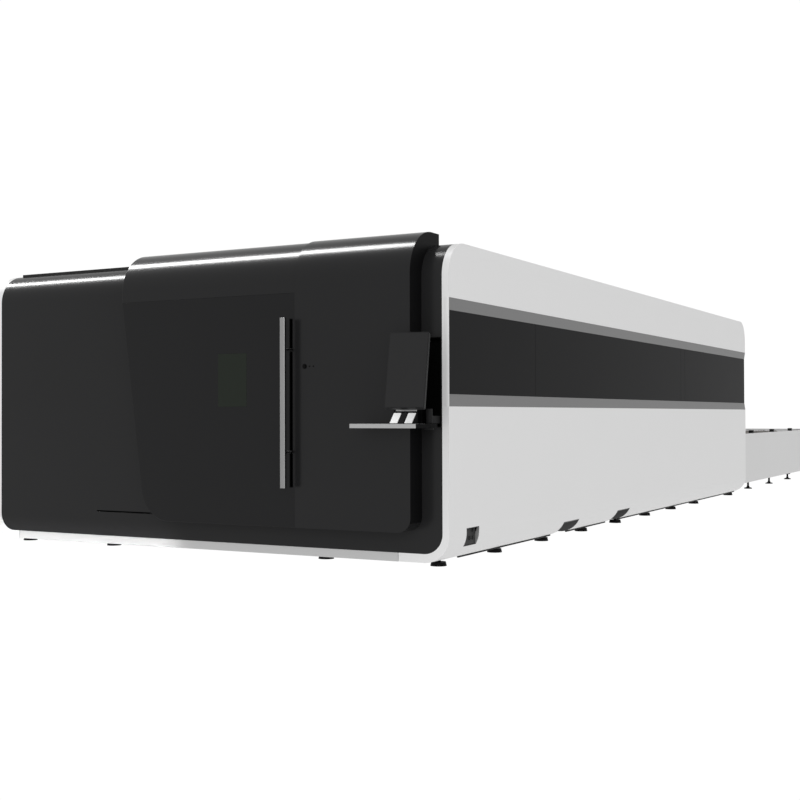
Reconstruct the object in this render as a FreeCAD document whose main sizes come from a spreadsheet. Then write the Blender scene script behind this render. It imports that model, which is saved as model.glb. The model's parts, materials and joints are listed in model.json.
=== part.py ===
"""Fiber laser cutting machine with a closed cabin and a two-level exchange table.

Millimetres.  While a piece is drawn, x runs to the right along the front, y runs from the front
panel to the back and z runs up from the floor.  Each finished piece is then set back by
front_to_origin, so that the origin lies on the floor in the middle of the whole machine.
"""
import FreeCAD, Part
import Sketcher
import math
import os
import re

# name, value, what it measures; a value that starts with = is worked out from others
SIZES = [
    # cabin
    ("body_width", 4180, "cabin, outside of both side shells"),
    ("body_length", 8600, "cabin, front panel to rear panel"),
    ("body_height", 2206, "floor to the top of the side shells"),
    ("table_length", 6780, "exchange table, cabin to the end of its side panels"),
    ("table_panel", 20, "panels of the table"),
    ("front_reach", 425.2, "front panel to the foremost edge of the screen"),
    ("front_to_origin", "=(table_rear + table_panel - front_reach) / 2", "front panel to the middle of the machine"),
    ("shell_wall", 50, "thickness of a side shell"),
    ("shell_bottom", 38, "floor to the underside of the shells"),
    ("belly_radius", 190, "outer curve of a shell under the machine"),
    ("nose_radius", 240, "curve from the front to the roof"),
    ("tail_radius", 240, "curve from the roof to the rear"),
    ("right_flange", 386, "how far the right shell turns in under the machine"),
    ("left_flange", 250, "how far the left shell turns in under the machine"),
    ("cap_depth", 420, "roof part of the front and rear panels"),
    ("panel_return", 120, "how far the front and rear panels turn back along the shells"),
    ("sheet", 8, "skin of the front, rear and roof panels"),
    ("roof_depth", 40, "roof plates with their rims"),
    ("roof_rim", 20, "rims under the roof plates"),
    ("seam", 4, "gap between neighbouring panels"),
    # dark band along the sides
    ("band_low", 1174, "floor to the lower edge of the band"),
    ("band_high", 1739, "floor to the upper edge of the band"),
    ("trim_height", 83, "height of the sloped strip above and below the band"),
    ("groove_depth", 20, "groove in the shell that holds band and strips"),
    ("band_plate", 8, "thickness of the band"),
    ("band_seam_front", 1547, "first joint of the band"),
    ("band_seam_middle", 5647, "second joint of the band"),
    ("band_seam_rear", 5805, "third joint of the band"),
    # sliding door and the fixed cover beside it
    ("cover_reach", 168, "how far the cover stands out from the front panel"),
    ("cover_back", 267, "front panel to the rear edge of the hood"),
    ("cover_rise", 83, "top of the hood above the roof"),
    ("cover_top", "=body_height + cover_rise", "floor to the top of the hood"),
    ("cover_bottom", 250, "floor to the underside of cover and door"),
    ("cover_inset", 204, "outside of the right shell to the end of the cover"),
    ("cover_right", "=body_width / 2 - cover_inset", "right end of the fixed cover"),
    ("cover_nose", 320, "curve from the cover's front to its top"),
    ("cover_corner", 100, "lower right corner of the cover"),
    ("cover_skin", 14, "wall of cover and door"),
    ("door_right", 973, "joint between door and fixed cover"),
    ("door_left", -600, "left end of the door's hood"),
    ("door_step", 10, "how far the door lies inside the cover's outline"),
    ("door_gap", 8, "running gap between door and front panel"),
    ("door_joint", 3, "gap between door and fixed cover"),
    ("face_drop", 77, "start of the hood's curve to the top of the dark door face"),
    ("door_face_top", "=cover_top - cover_nose - face_drop", "upper edge of the dark door face"),
    ("door_face_plate", 6, "thickness of the dark door face"),
    ("door_slant_foot", -380, "where the sloping left edge would meet the door's underside"),
    ("door_corner", 250, "lower left corner of the door"),
    ("window_left", 303, "left edge of the door window"),
    ("window_width", 252, "door window"),
    ("window_low", 1098, "lower edge of the door window"),
    ("window_height", 382, "door window"),
    ("window_seat", 10, "lip that the pane rests on"),
    ("opening_left", -340, "doorway behind the door"),
    ("opening_right", 900, "doorway behind the door"),
    ("opening_low", 420, "doorway behind the door"),
    ("opening_drop", 116, "start of the cabin's curve to the top of the doorway"),
    ("opening_corner", 30, "corners of the doorway"),
    ("opening_high", "=body_height - nose_radius - opening_drop", "doorway behind the door"),
    ("handle_x", 937, "middle of the door handle"),
    ("handle_width", 42, "door handle bar"),
    ("handle_thick", 20, "door handle bar"),
    ("handle_low", 530, "lower end of the handle bar"),
    ("handle_length", 1182, "length of the handle bar"),
    ("handle_reach", 93, "clear space behind the handle bar"),
    ("post_low", 778, "height of the lower handle post"),
    ("post_high", 1492, "height of the upper handle post"),
    ("post_radius", 9, "handle posts"),
    ("channel_width", 28, "black channel behind the handle"),
    ("channel_depth", 40, "black channel behind the handle"),
    ("rail_y", 200, "front panel to the middle of the door rail"),
    ("rail_width", 28, "door rail on the roof"),
    ("rail_height", 14, "door rail on the roof"),
    ("rail_inset", 100, "outside of the left shell to the end of the door rail"),
    ("rail_left", "=-(body_width / 2 - rail_inset)", "left end of the door rail"),
    ("rail_right", 960, "right end of the door rail"),
    ("runner_length", 120, "block that hangs the door on its rail"),
    ("runner_width", 56, "block that hangs the door on its rail"),
    ("runner_left", -450, "middle of the left block"),
    ("runner_right", 800, "middle of the right block"),
    ("slide_gap", 0.4, "running clearance of slides and bearings"),
    ("slit_height", 12, "guide slit under the door"),
    ("slit_half", 22, "channel behind the slit, half its height"),
    ("slit_wall", 6, "back of the channel"),
    ("slit_room", 24, "depth of the channel"),
    ("slit_end", 10, "channel beyond each end of the slit"),
    ("slit_z", 288, "floor to the guide slit"),
    ("slit_left", -1001, "left end of the guide slit"),
    ("slit_right", 430, "right end of the guide slit"),
    ("pin_x", 380, "guide pin on the door"),
    ("pin_radius", 5, "guide pin on the door"),
    ("pin_roller", 10, "roller radius on the guide pin"),
    # skirt, niche and small front pieces
    ("skirt_low", 37, "floor to the underside of the skirt"),
    ("skirt_high", 98, "top of the skirt, where front panel and shells begin inside"),
    ("skirt_plate", 20, "thickness of the skirt"),
    ("niche_inset", 202, "outside of the right shell to the niche"),
    ("niche_left", "=body_width / 2 - niche_inset", "left wall of the console niche"),
    ("niche_low", 953, "floor to the console niche"),
    ("niche_high", 1556, "top of the console niche"),
    ("niche_depth", 90, "depth of the console niche"),
    ("niche_wall", 4, "sheet of the console niche"),
    ("button_x", 1057, "start button"),
    ("button_z", 1374, "row of button and lamps"),
    ("button_radius", 11, "start button"),
    ("button_reach", 7, "start button, out of its collar"),
    ("lamp_first_x", 1097, "first lamp"),
    ("lamp_pitch", 32, "between the lamps"),
    ("lamp_radius", 5, "lamps"),
    # undercarriage and bed
    ("sill_inset", 130, "outside of a shell to the long floor tubes"),
    ("sill_outer", "=body_width / 2 - sill_inset", "outer face of the long floor tubes"),
    ("sill_width", 110, "long floor tubes"),
    ("sill_low", 150, "underside of the floor tubes"),
    ("sill_height", 80, "floor tubes"),
    ("cross_width", 100, "cross tubes"),
    ("bed_front", 430, "front end of the bed beams"),
    ("bed_setback", 1360, "rear panel to the rear end of the bed beams"),
    ("bed_rear", "=body_length - bed_setback", "rear end of the bed beams"),
    ("bed_inner", 1500, "inner face of the bed beams"),
    ("bed_gap", 10, "floor tubes to the outer face of the bed beams"),
    ("bed_outer", "=sill_outer - sill_width - bed_gap", "outer face of the bed beams"),
    ("bed_top", 880, "top of the bed beams"),
    ("frame_first_y", 480, "first posts of the cabin frame"),
    ("frame_setback", 500, "rear panel to the last posts of the cabin frame"),
    ("frame_last_y", "=body_length - frame_setback", "last posts of the cabin frame"),
    ("frame_pitch", "=(frame_last_y - frame_first_y) / 4", "between the posts of the cabin frame"),
    ("frame_tube", 60, "posts and rails of the cabin frame"),
    ("frame_shoe", 20, "plate on the floor tubes that carries a post"),
    ("frame_foot", 320, "floor to the lower end of the posts"),
    ("bed_wall", 20, "plate of the bed beams"),
    ("bed_window_width", 700, "openings in the bed beams"),
    ("bed_window_height", 120, "openings in the bed beams"),
    ("bed_window_low", 255, "openings in the bed beams"),
    ("bed_window_start", 655, "end of the bed beams to the middle of the first opening"),
    ("bed_window_pitch", "=(bed_rear - bed_front - 2 * bed_window_start) / 5", "openings in the bed beams"),
    ("foot_radius", 57, "levelling foot, disc"),
    ("foot_disc", 28, "levelling foot, disc height"),
    ("stem_radius", 15, "levelling foot, screw"),
    ("stem_hole", 22, "hole for the screw"),
    ("foot_inset", 180, "outside of a shell to the feet"),
    ("foot_x", "=body_width / 2 - foot_inset", "feet from the middle line"),
    ("foot_first_y", 196, "first foot"),
    ("foot_pitch", 936, "between feet"),
    ("foot_setback", 210, "rear panel to the last foot"),
    ("foot_last_y", "=body_length - foot_setback", "last foot"),
    ("front_foot_x", 1000, "feet under the front panel"),
    ("front_foot_y", 200, "feet under the front panel"),
    ("fork_first_y", 2343, "first lifting pocket"),
    ("fork_pitch", 1370, "between the lifting pockets"),
    ("fork_width", 360, "lifting pocket"),
    ("fork_wall", 8, "channel of a lifting pocket"),
    ("port_front", 268, "front side of the port recess"),
    ("port_length", 204, "port recess"),
    ("port_low", 130, "port recess"),
    ("port_height", 127, "port recess"),
    ("port_depth", 30, "outside of the shell to the plate of the port recess"),
    ("port_cut", 110, "depth of the cut for the port recess"),
    ("port_wall", 4, "sheet of the port recess"),
    ("port_radius", 13, "port fitting, outside"),
    ("port_bore", 8, "port fitting, bore radius"),
    ("port_reach", 12, "port fitting, out of the plate"),
    ("port_floor", 2, "closed end of a fitting's bore"),
    ("port_near", 104, "front side of the recess to the foremost fitting"),
    ("port_far", 156, "front side of the recess to the other fittings"),
    ("port_down", 49, "foot of the recess to the lower fittings"),
    ("port_up", 100, "foot of the recess to the upper fitting"),
    # rear
    ("gate_half_width", 1530, "rear gate"),
    ("gate_low", 770, "underside of the rear gate at rest"),
    ("gate_height", 380, "rear gate"),
    ("gate_plate", 20, "rear gate"),
    ("gate_travel", 340, "how far the rear gate rises"),
    ("gate_setback", 12, "rear panel to gate"),
    ("gate_way_half", 1500, "opening that the pallets pass"),
    ("gate_way_low", 360, "opening that the pallets pass"),
    ("gate_way_high", 1120, "opening that the pallets pass"),
    # pallets, tracks and their drive
    ("track_upper", 580, "top of the upper track"),
    ("track_lower", 395, "top of the lower track"),
    ("track_inner", 1350, "inner edge of the tracks"),
    ("track_plate", 15, "thickness of the tracks"),
    ("track_front", 670, "front end of the tracks in the cabin"),
    ("track_gap_setback", 110, "rear panel to the end of the tracks in the cabin"),
    ("track_gap_front", "=body_length - track_gap_setback", "end of the tracks in the cabin"),
    ("track_table_start", 20, "rear panel to the start of the tracks on the table"),
    ("track_gap_rear", "=body_length + track_table_start", "start of the tracks on the table"),
    ("track_table_end", 290, "end of the table's side panels to the end of the tracks"),
    ("track_rear", "=body_length + table_length - track_table_end", "rear end of the tracks on the table"),
    ("pallet_front", 640, "front end of the pallet in the cabin"),
    ("pallet_length", 6200, "pallet"),
    ("pallet_half", 1340, "outer face of a pallet's side rails"),
    ("pallet_setback", 140, "rear panel to the pallet on the table"),
    ("pallet_travel", "=body_length + pallet_setback - pallet_front", "travel of a pallet between cabin and table"),
    ("pallet_rail_width", 50, "rails of a pallet"),
    ("pallet_rail_height", 100, "rails of a pallet"),
    ("pallet_lift", 15, "track to the underside of a pallet"),
    ("slat_count", 31, "slats of a pallet"),
    ("slat_pitch", 200, "between slats"),
    ("slat_plate", 6, "thickness of a slat"),
    ("slat_low", 75, "track to the underside of a slat"),
    ("slat_high", 165, "track to the tips of a slat"),
    ("tooth_count", 13, "teeth of a slat"),
    ("tooth_depth", 45, "teeth of a slat"),
    ("wheel_radius", 39.7, "wheels of a pallet"),
    ("wheel_axle", 40, "track to the wheel axle"),
    ("wheel_width", 30, "wheels of a pallet"),
    ("wheel_count", 6, "wheels on each side of a pallet"),
    ("wheel_inset", 100, "first wheel from the pallet's end"),
    ("chain_x", 1440, "drive chains from the middle line"),
    ("chain_width", 20, "drive chain"),
    ("chain_thick", 12, "drive chain"),
    ("chain_front", 560, "front chain wheels"),
    ("chain_setback", 180, "end of the table's side panels to the rear chain wheels"),
    ("chain_rear", "=body_length + table_length - chain_setback", "rear chain wheels"),
    ("shaft_radius", 25, "shafts of the chain wheels"),
    # gantry, carriage and cutting head
    ("gantry_y", 1300, "gantry at rest"),
    ("guide_inset", 110, "outer face of the bed beams to the gantry rails"),
    ("guide_x", "=bed_outer - guide_inset", "gantry rails from the middle line"),
    ("guide_width", 34, "gantry rail"),
    ("guide_height", 35, "gantry rail"),
    ("guide_front", 480, "front end of the gantry rails"),
    ("guide_setback", 40, "rear end of the bed beams to the end of the rails"),
    ("guide_rear", "=bed_rear - guide_setback", "rear end of the gantry rails"),
    ("rack_inset", 25, "outer face of the bed beams to the toothed face of the racks"),
    ("rack_x", "=bed_outer - rack_inset", "toothed face of the racks"),
    ("rack_width", 25, "rack"),
    ("rack_height", 25, "rack"),
    ("pinion_radius", 25, "pinion of a gantry motor"),
    ("motor_shaft", 12, "shaft of a gantry motor, radius"),
    ("servo_flange", 50, "flange of a gantry motor, half its side"),
    ("servo_foot", 70, "flange of a gantry motor, height"),
    ("servo_half", 42, "can of a gantry motor, half its side"),
    ("servo_height", 230, "gantry motor above its saddle"),
    ("servo_corner", 12, "corners of the can"),
    ("servo_setback", 70, "back of the gantry beam to the motor's axis"),
    ("saddle_low", 950, "underside of the saddles"),
    ("saddle_plate", 35, "saddle plate"),
    ("saddle_in", 100, "gantry rail to the inner edge of a saddle"),
    ("saddle_out", 170, "gantry rail to the outer edge of a saddle"),
    ("saddle_inner", "=guide_x - saddle_in", "inner edge of a saddle"),
    ("saddle_outer", "=guide_x + saddle_out", "outer edge of a saddle"),
    ("saddle_length", 600, "saddle along the rails"),
    ("beam_over", 20, "gantry beam beyond the middle of its rails"),
    ("beam_half", "=guide_x + beam_over", "gantry beam, half length"),
    ("beam_depth", 320, "gantry beam, front to back"),
    ("beam_height", 360, "gantry beam"),
    ("beam_wall", 14, "gantry beam"),
    ("beam_round", 24, "edges of the gantry beam"),
    ("block_length", 90, "bearing block along its rail"),
    ("block_width", 62, "bearing block across its rail"),
    ("block_spread", 240, "bearing block from the middle of a saddle"),
    ("beam_guide_low", 60, "lower rail above the beam's underside"),
    ("beam_guide_high", 300, "upper rail above the beam's underside"),
    ("beam_guide_width", 24, "rail on the beam"),
    ("beam_guide_height", 22, "rail on the beam"),
    ("beam_guide_inset", 150, "end of the gantry beam to the end of its rails"),
    ("beam_guide_half", "=beam_half - beam_guide_inset", "rail on the beam, half length"),
    ("carriage_half", 170, "carriage plate"),
    ("carriage_plate", 25, "carriage plate"),
    ("carriage_low", 1000, "carriage plate"),
    ("carriage_high", 1560, "carriage plate"),
    ("carriage_stand", 40, "beam face to carriage plate"),
    ("head_guide_x", 80, "upright rails on the carriage"),
    ("head_guide_width", 20, "upright rails on the carriage"),
    ("head_guide_depth", 16, "upright rails on the carriage"),
    ("head_slide_half", 115, "slide of the cutting head"),
    ("head_slide_plate", 26, "slide of the cutting head"),
    ("head_slide_low", 1080, "slide of the cutting head"),
    ("head_slide_high", 1380, "slide of the cutting head"),
    ("head_half", 52, "body of the cutting head"),
    ("head_deep", 110, "body of the cutting head"),
    ("head_low", 960, "body of the cutting head"),
    ("head_high", 1430, "body of the cutting head"),
    ("nozzle_tip", 800, "nozzle tip at rest"),
    ("nozzle_mouth", 6, "radius of the nozzle tip"),
    # console
    ("console_inset", 90, "outside of the right shell to the swivel post"),
    ("console_x", "=body_width / 2 - console_inset", "swivel post"),
    ("console_y", -110, "swivel post"),
    ("console_post", 22, "swivel post, radius"),
    ("console_post_top", 1075, "top of the swivel post"),
    ("console_pin", 12, "pin that the tray turns on, radius"),
    ("console_flange", 12, "flange under the tray"),
    ("arm_width", 40, "arm from the niche to the post"),
    ("arm_height", 50, "arm from the niche to the post"),
    ("tray_inset", 50, "outside of the right shell to the tray"),
    ("tray_right", "=body_width / 2 - tray_inset", "tray"),
    ("tray_length", 500, "tray"),
    ("tray_left", "=tray_right - tray_length", "tray"),
    ("tray_front", -380, "tray"),
    ("tray_back", -180, "tray"),
    ("tray_low", 949, "tray"),
    ("tray_top", 977, "tray"),
    ("tray_tab", 40, "tab round the pin"),
    ("tray_corner", 12, "front corner of the tray"),
    ("cheek_plate", 6, "plate on the right end of the tray"),
    ("desk_inset", 38, "right end of the tray to the key desk"),
    ("desk_length", 172, "sloping key desk"),
    ("desk_right", "=tray_right - desk_inset", "sloping key desk"),
    ("desk_left", "=desk_right - desk_length", "sloping key desk on the tray"),
    ("desk_front", -355, "sloping key desk"),
    ("desk_back", -280, "sloping key desk"),
    ("desk_ridge", 10, "level top of the key desk"),
    ("desk_top", 1050, "sloping key desk"),
    ("desk_lip_high", 1076, "top of the lip behind the keys"),
    ("desk_lip", 8, "thickness of the lip"),
    ("key_margin", 5, "left end of the desk to the first key field"),
    ("key_first", "=desk_left + key_margin", "first key field"),
    ("key_pitch", 108, "between the key fields"),
    ("key_width", 55, "key field"),
    ("key_length", 88, "key field"),
    ("key_inset", 4, "lower edge of the slope to the key fields"),
    ("key_plate", 3, "key field"),
    ("screen_inset", 123, "right end of the tray to the upright of the screen"),
    ("screen_x", "=tray_right - screen_inset", "upright of the screen"),
    ("screen_y", -230, "upright of the screen"),
    ("screen_z", 1388.6, "tilt axis of the screen"),
    ("screen_yaw", 15, "screen turned to the right"),
    ("screen_tilt", 18, "screen leaned back at rest"),
    ("column_width", 36, "upright of the screen"),
    ("column_depth", 24, "upright of the screen"),
    ("barrel_radius", 15, "tilt joint"),
    ("barrel_half", 20, "tilt joint, half length"),
    ("barrel_pin", 6, "pin of the tilt joint, radius"),
    ("ear_plate", 12, "ears of the tilt joint"),
    ("ear_half", 14, "ears of the tilt joint"),
    ("screen_width", 268, "screen housing"),
    ("screen_height", 524, "screen housing"),
    ("screen_thick", 40, "screen housing"),
    ("screen_stand", 23, "tilt axis to the back of the housing"),
    ("screen_rise", -82, "tilt axis to the middle of the housing"),
    ("screen_corner", 8, "corners of the screen housing"),
    ("screen_border", 6, "frame round the glass"),
    ("glass_plate", 3, "screen glass"),
    # exchange table
    ("table_front", "=body_length", "front end of the table"),
    ("table_rear", "=body_length + table_length", "rear end of the table's side panels"),
    ("table_inset", 220, "outside of a shell to the table's side panels"),
    ("table_outer", "=body_width / 2 - table_inset", "outer face of the table's side panels"),
    ("table_low", 94, "underside of the table's panels"),
    ("table_high", 765, "top of the table's panels"),
    ("table_seam_setback", 1980, "joint of the side panels to their rear end"),
    ("table_seam", "=table_rear - table_seam_setback", "joint of the table's side panels"),
    ("table_beam_inner", 1500, "long beams of the table"),
    ("table_beam_width", 100, "long beams of the table"),
    ("table_beam_low", 300, "long beams of the table"),
    ("table_beam_high", 620, "long beams of the table"),
    ("table_beam_setback", 80, "rear end of the long beams to the end panel"),
    ("table_beam_end", "=table_rear - table_beam_setback", "rear end of the long beams"),
    ("leg_width", 50, "legs of the table"),
    ("leg_length", 80, "legs of the table"),
    ("leg_setback", 100, "cabin to the legs next to it"),
    ("leg_start", 1260, "cabin to the first free legs"),
    ("leg_front_y", "=table_front + leg_setback", "legs next to the cabin"),
    ("leg_first_y", "=table_front + leg_start", "first free legs"),
    ("leg_end", 60, "last leg to the end of the table's side panels"),
    ("leg_pitch", "=(table_length - leg_end - leg_start) / (leg_count - 1)", "between legs"),
    ("leg_count", 5, "free legs on each side"),
    ("leg_foot_inset", 36, "outer face of the table to its feet"),
    ("leg_foot_x", "=table_outer - leg_foot_inset", "feet of the table from the middle line"),
    ("leg_rail", 80, "tubes from the legs to the long beams"),
    ("cap_setback", 190, "leg to the black block behind it"),
    ("cap_length", 55, "black block on the side panel"),
    ("cap_width", 60, "black block on the side panel"),
    ("cap_height", 42, "black block on the side panel"),
    ("motor_inset", 170, "outer face of the table to the gear motor"),
    ("motor_start", 4000, "cabin to the gear motor"),
    ("motor_x", "=table_outer - motor_inset", "gear motor of the exchange drive"),
    ("motor_y", "=table_front + motor_start", "front end of the gear motor"),
    ("motor_z", 150, "axis of the gear motor"),
    ("motor_radius", 90, "gear motor"),
    ("motor_length", 380, "gear motor"),
    ("gear_length", 120, "gear box of the gear motor"),
]

doc = FreeCAD.newDocument("laser_cutter")
sheet = doc.addObject("Spreadsheet::Sheet", "Sizes")
for row, (name, value, note) in enumerate(SIZES, start=1):
    sheet.set("A%d" % row, name)
    sheet.set("C%d" % row, note)
    sheet.setAlias("B%d" % row, name)
for row, (name, value, note) in enumerate(SIZES, start=1):
    sheet.set("B%d" % row, str(value))
doc.recompute()

NAMES = {name for name, value, note in SIZES}
LONG = 20000        # longer than the machine, for cuts that go right through
PARTS = []          # (label, object) of every finished piece
AXES = {"x": FreeCAD.Vector(1, 0, 0), "y": FreeCAD.Vector(0, 1, 0), "z": FreeCAD.Vector(0, 0, 1)}


# ---------------------------------------------------------------- helpers

def size(name):
    """The value of a size, as a number."""
    return float(sheet.get(name))


def formula(text):
    """An expression in which each size is led by the sheet's name."""
    def lead(word):
        return "Sizes." + word.group() if word.group() in NAMES else word.group()
    return re.sub(r"[A-Za-z_]\w*", lead, str(text))


def bind(thing, prop, text):
    """Tie one property of an object to the sizes."""
    thing.setExpression(prop, formula(text))


def place(thing, x=0, y=0, z=0):
    """Tie an object's position to the sizes."""
    bind(thing, "Placement.Base.x", x)
    bind(thing, "Placement.Base.y", y)
    bind(thing, "Placement.Base.z", z)
    return thing


def box(x, y, z):
    """A plain box between the limits (low, high) on each axis."""
    thing = doc.addObject("Part::Box", "Box")
    for prop, (low, high) in (("Length", x), ("Width", y), ("Height", z)):
        bind(thing, prop, "(%s) - (%s)" % (high, low))
    return place(thing, x[0], y[0], z[0])


def rod(radius, along, start, x=0, y=0, z=0, length=None, end=None):
    """A round bar along one axis, from start to end, through the given point."""
    thing = doc.addObject("Part::Cylinder", "Rod")
    bind(thing, "Radius", radius)
    bind(thing, "Height", length if end is None else "(%s) - (%s)" % (end, start))
    turn = {"x": (AXES["y"], 90), "y": (AXES["x"], -90), "z": (AXES["z"], 0)}[along]
    thing.Placement = FreeCAD.Placement(FreeCAD.Vector(), FreeCAD.Rotation(*turn))
    at = {"x": x, "y": y, "z": z}
    at[along] = start
    return place(thing, at["x"], at["y"], at["z"])


def cone(low_radius, high_radius, start, end, x=0, y=0):
    """An upright cone between two heights."""
    thing = doc.addObject("Part::Cone", "Cone")
    bind(thing, "Radius1", low_radius)
    bind(thing, "Radius2", high_radius)
    bind(thing, "Height", "(%s) - (%s)" % (end, start))
    return place(thing, x, y, start)


def group(things):
    """Separate solids kept together."""
    thing = doc.addObject("Part::Compound", "Group")
    thing.Links = things
    return thing


def fuse(things):
    """Solids welded into one."""
    thing = doc.addObject("Part::MultiFuse", "Weld")
    thing.Shapes = things
    return thing


def common(things):
    """What all the solids share."""
    thing = doc.addObject("Part::MultiCommon", "Common")
    thing.Shapes = things
    return thing


def cut(base, tools):
    """The base with every tool taken away."""
    thing = doc.addObject("Part::Cut", "Cut")
    thing.Base = base
    thing.Tool = tools[0] if len(tools) == 1 else fuse(tools)
    return thing


def turned(thing, along, angle, x=0, y=0, z=0):
    """The solids turned about an axis through their own origin and moved."""
    holder = group([thing])
    start = FreeCAD.Rotation(AXES[along], 10)
    holder.Placement = FreeCAD.Placement(FreeCAD.Vector(), start)
    bind(holder, "Placement.Rotation.Angle", angle)
    return place(holder, x, y, z)


def outline(body, role, corners):
    """A closed sketch of straight lines, each corner tied to the sizes."""
    plane = [item for item in body.Origin.OriginFeatures if item.Role == role][0]
    sketch = body.newObject("Sketcher::SketchObject", "Outline")
    sketch.AttachmentSupport = [(plane, "")]
    sketch.MapMode = "FlatFace"
    count = len(corners)
    spots = []
    for index in range(count):
        turn = 2 * math.pi * index / count
        spots.append(FreeCAD.Vector(100 * math.cos(turn), 100 * math.sin(turn), 0))
    for index in range(count):
        sketch.addGeometry(Part.LineSegment(spots[index], spots[(index + 1) % count]), False)
    for index in range(count):
        sketch.addConstraint(Sketcher.Constraint("Coincident", index, 2, (index + 1) % count, 1))
    for index, (across, up) in enumerate(corners):
        for kind, text in (("DistanceX", across), ("DistanceY", up)):
            value = getattr(spots[index], "x" if kind == "DistanceX" else "y")
            number = sketch.addConstraint(Sketcher.Constraint(kind, -1, 1, index, 1, value))
            sketch.setExpression("Constraints[%d]" % number, formula(text))
    return sketch


ROLES = {"x": "YZ_Plane", "y": "XZ_Plane", "z": "XY_Plane"}


def prism(along, corners, start, end):
    """A body padded from an outline square to one axis, between two places on it."""
    body = doc.addObject("PartDesign::Body", "Body")
    sketch = outline(body, ROLES[along], corners)
    lift = "-(%s)" % start if along == "y" else start
    sketch.setExpression("AttachmentOffset.Base.z", formula(lift))
    pad = body.newObject("PartDesign::Pad", "Pad")
    pad.Profile = sketch
    bind(pad, "Length", "(%s) - (%s)" % (end, start))
    pad.Reversed = along == "y"
    sketch.Visibility = False
    doc.recompute()
    return body


def edges_at(shape, along, places):
    """Names of the straight edges along an axis that lie at the given places."""
    names = []
    for number, edge in enumerate(shape.Edges, start=1):
        if len(edge.Vertexes) != 2 or edge.Curve.TypeId != "Part::GeomLine":
            continue
        run = edge.Vertexes[1].Point - edge.Vertexes[0].Point
        if abs(abs(run.normalize().dot(AXES[along])) - 1) > 1e-6:
            continue
        middle = edge.CenterOfMass
        if all(abs(getattr(middle, axis) - value) < 0.01 for axis, value in places.items()):
            names.append("Edge%d" % number)
    return names


def round_edges(body, along, places, radius):
    """Round the edges of a body that run along an axis at the given places."""
    base = body.Tip
    fillet = body.newObject("PartDesign::Fillet", "Round")
    fillet.Base = (base, edges_at(base.Shape, along, places))
    bind(fillet, "Radius", radius)
    body.Tip = fillet
    doc.recompute()
    return body


def block(x, y, z, rounds):
    """A box whose named edges are rounded: (axis, sides, radius), sides such as 'y- z+'."""
    corners = [(y[0], z[0]), (y[1], z[0]), (y[1], z[1]), (y[0], z[1])]
    body = prism("x", corners, x[0], x[1])
    bound = body.Shape.BoundBox
    ends = {"x-": bound.XMin, "x+": bound.XMax, "y-": bound.YMin,
            "y+": bound.YMax, "z-": bound.ZMin, "z+": bound.ZMax}
    for along, sides, radius in rounds:
        places = {side[0]: ends[side] for side in sides.split()}
        round_edges(body, along, places, radius)
    return body


def mirrored(limits, side):
    """Limits on x for the right side (1) or the left side (-1)."""
    low, high = limits
    return (low, high) if side > 0 else ("-(%s)" % high, "-(%s)" % low)


def finish(label, thing):
    """Keep a piece: give it its name and set it back to the machine's origin."""
    thing.Label = label
    place(thing, 0, "-front_to_origin", 0)
    PARTS.append((label, thing))


# ---------------------------------------------------------------- cabin shells

HALF = "body_width / 2"
INNER = "(body_width / 2 - shell_wall)"


def foot_rows():
    """Places of the feet along the cabin."""
    rows = ["foot_first_y + %d * foot_pitch" % number for number in range(8)]
    return rows + ["foot_last_y"]


def fork_span(number, wall="0"):
    """Front and rear limits of a lifting pocket."""
    middle = "fork_first_y + %d * fork_pitch" % number
    return ("%s - fork_width / 2 - (%s)" % (middle, wall), "%s + fork_width / 2 + (%s)" % (middle, wall))


def port_box(across, inset="0"):
    """A block behind the mouth of the port recess, drawn in by an inset."""
    return box(across, ("port_front + %s" % inset, "port_front + port_length - %s" % inset),
               ("port_low + %s" % inset, "port_low + port_height - %s" % inset))


def cabin_envelope(grow="0", depth="body_length"):
    """The cabin's outer form, grown by a gap at the front and roof."""
    reach = HALF + " + 200"
    return block(("-(%s)" % reach, reach), ("-(%s)" % grow, depth), ("0", "body_height + %s" % grow),
                 [("x", "y- z+", "nose_radius + %s" % grow)])


def belly():
    """The cabin's lower outline across its width, which trims what reaches the shells."""
    return block(("-(%s)" % HALF, HALF), ("0", "body_length"), ("shell_bottom", "body_height"),
                 [("y", "x- z-", "belly_radius"), ("y", "x+ z-", "belly_radius")])


def side_shell(label, side, flange):
    """One long side shell, curved under the machine, with the groove for the band."""
    near = "x+" if side > 0 else "x-"
    outer = block(mirrored((HALF + " - " + flange, HALF), side), ("0", "body_length"),
                  ("shell_bottom", "body_height"),
                  [("y", near + " z-", "belly_radius"), ("x", "y- z+", "nose_radius"),
                   ("x", "y+ z+", "tail_radius")])
    inner = block(mirrored((HALF + " - 2 * " + flange, INNER), side), ("-100", "body_length + 100"),
                  ("skirt_high", "body_height + 100"),
                  [("y", near + " z-", "belly_radius - shell_wall")])
    groove = box(mirrored((HALF + " - groove_depth", HALF + " + 10"), side),
                 ("-10", "body_length + 10"),
                 ("band_low - trim_height", "band_high + trim_height"))
    tools = [inner, groove]
    for number in range(2):
        tools.append(box(mirrored(("0", HALF + " + 10"), side), fork_span(number), ("0", "sill_low")))
    for row in foot_rows():
        across = "foot_x" if side > 0 else "-foot_x"
        tools.append(rod("stem_hole", "z", "0", x=across, y=row, end="sill_low"))
    if side > 0:
        tools.append(port_box((HALF + " - port_cut", HALF + " + 10")))
    finish(label, cut(outer, tools))


side_shell("side_shell_right", 1, "right_flange")
side_shell("side_shell_left", -1, "left_flange")


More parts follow.
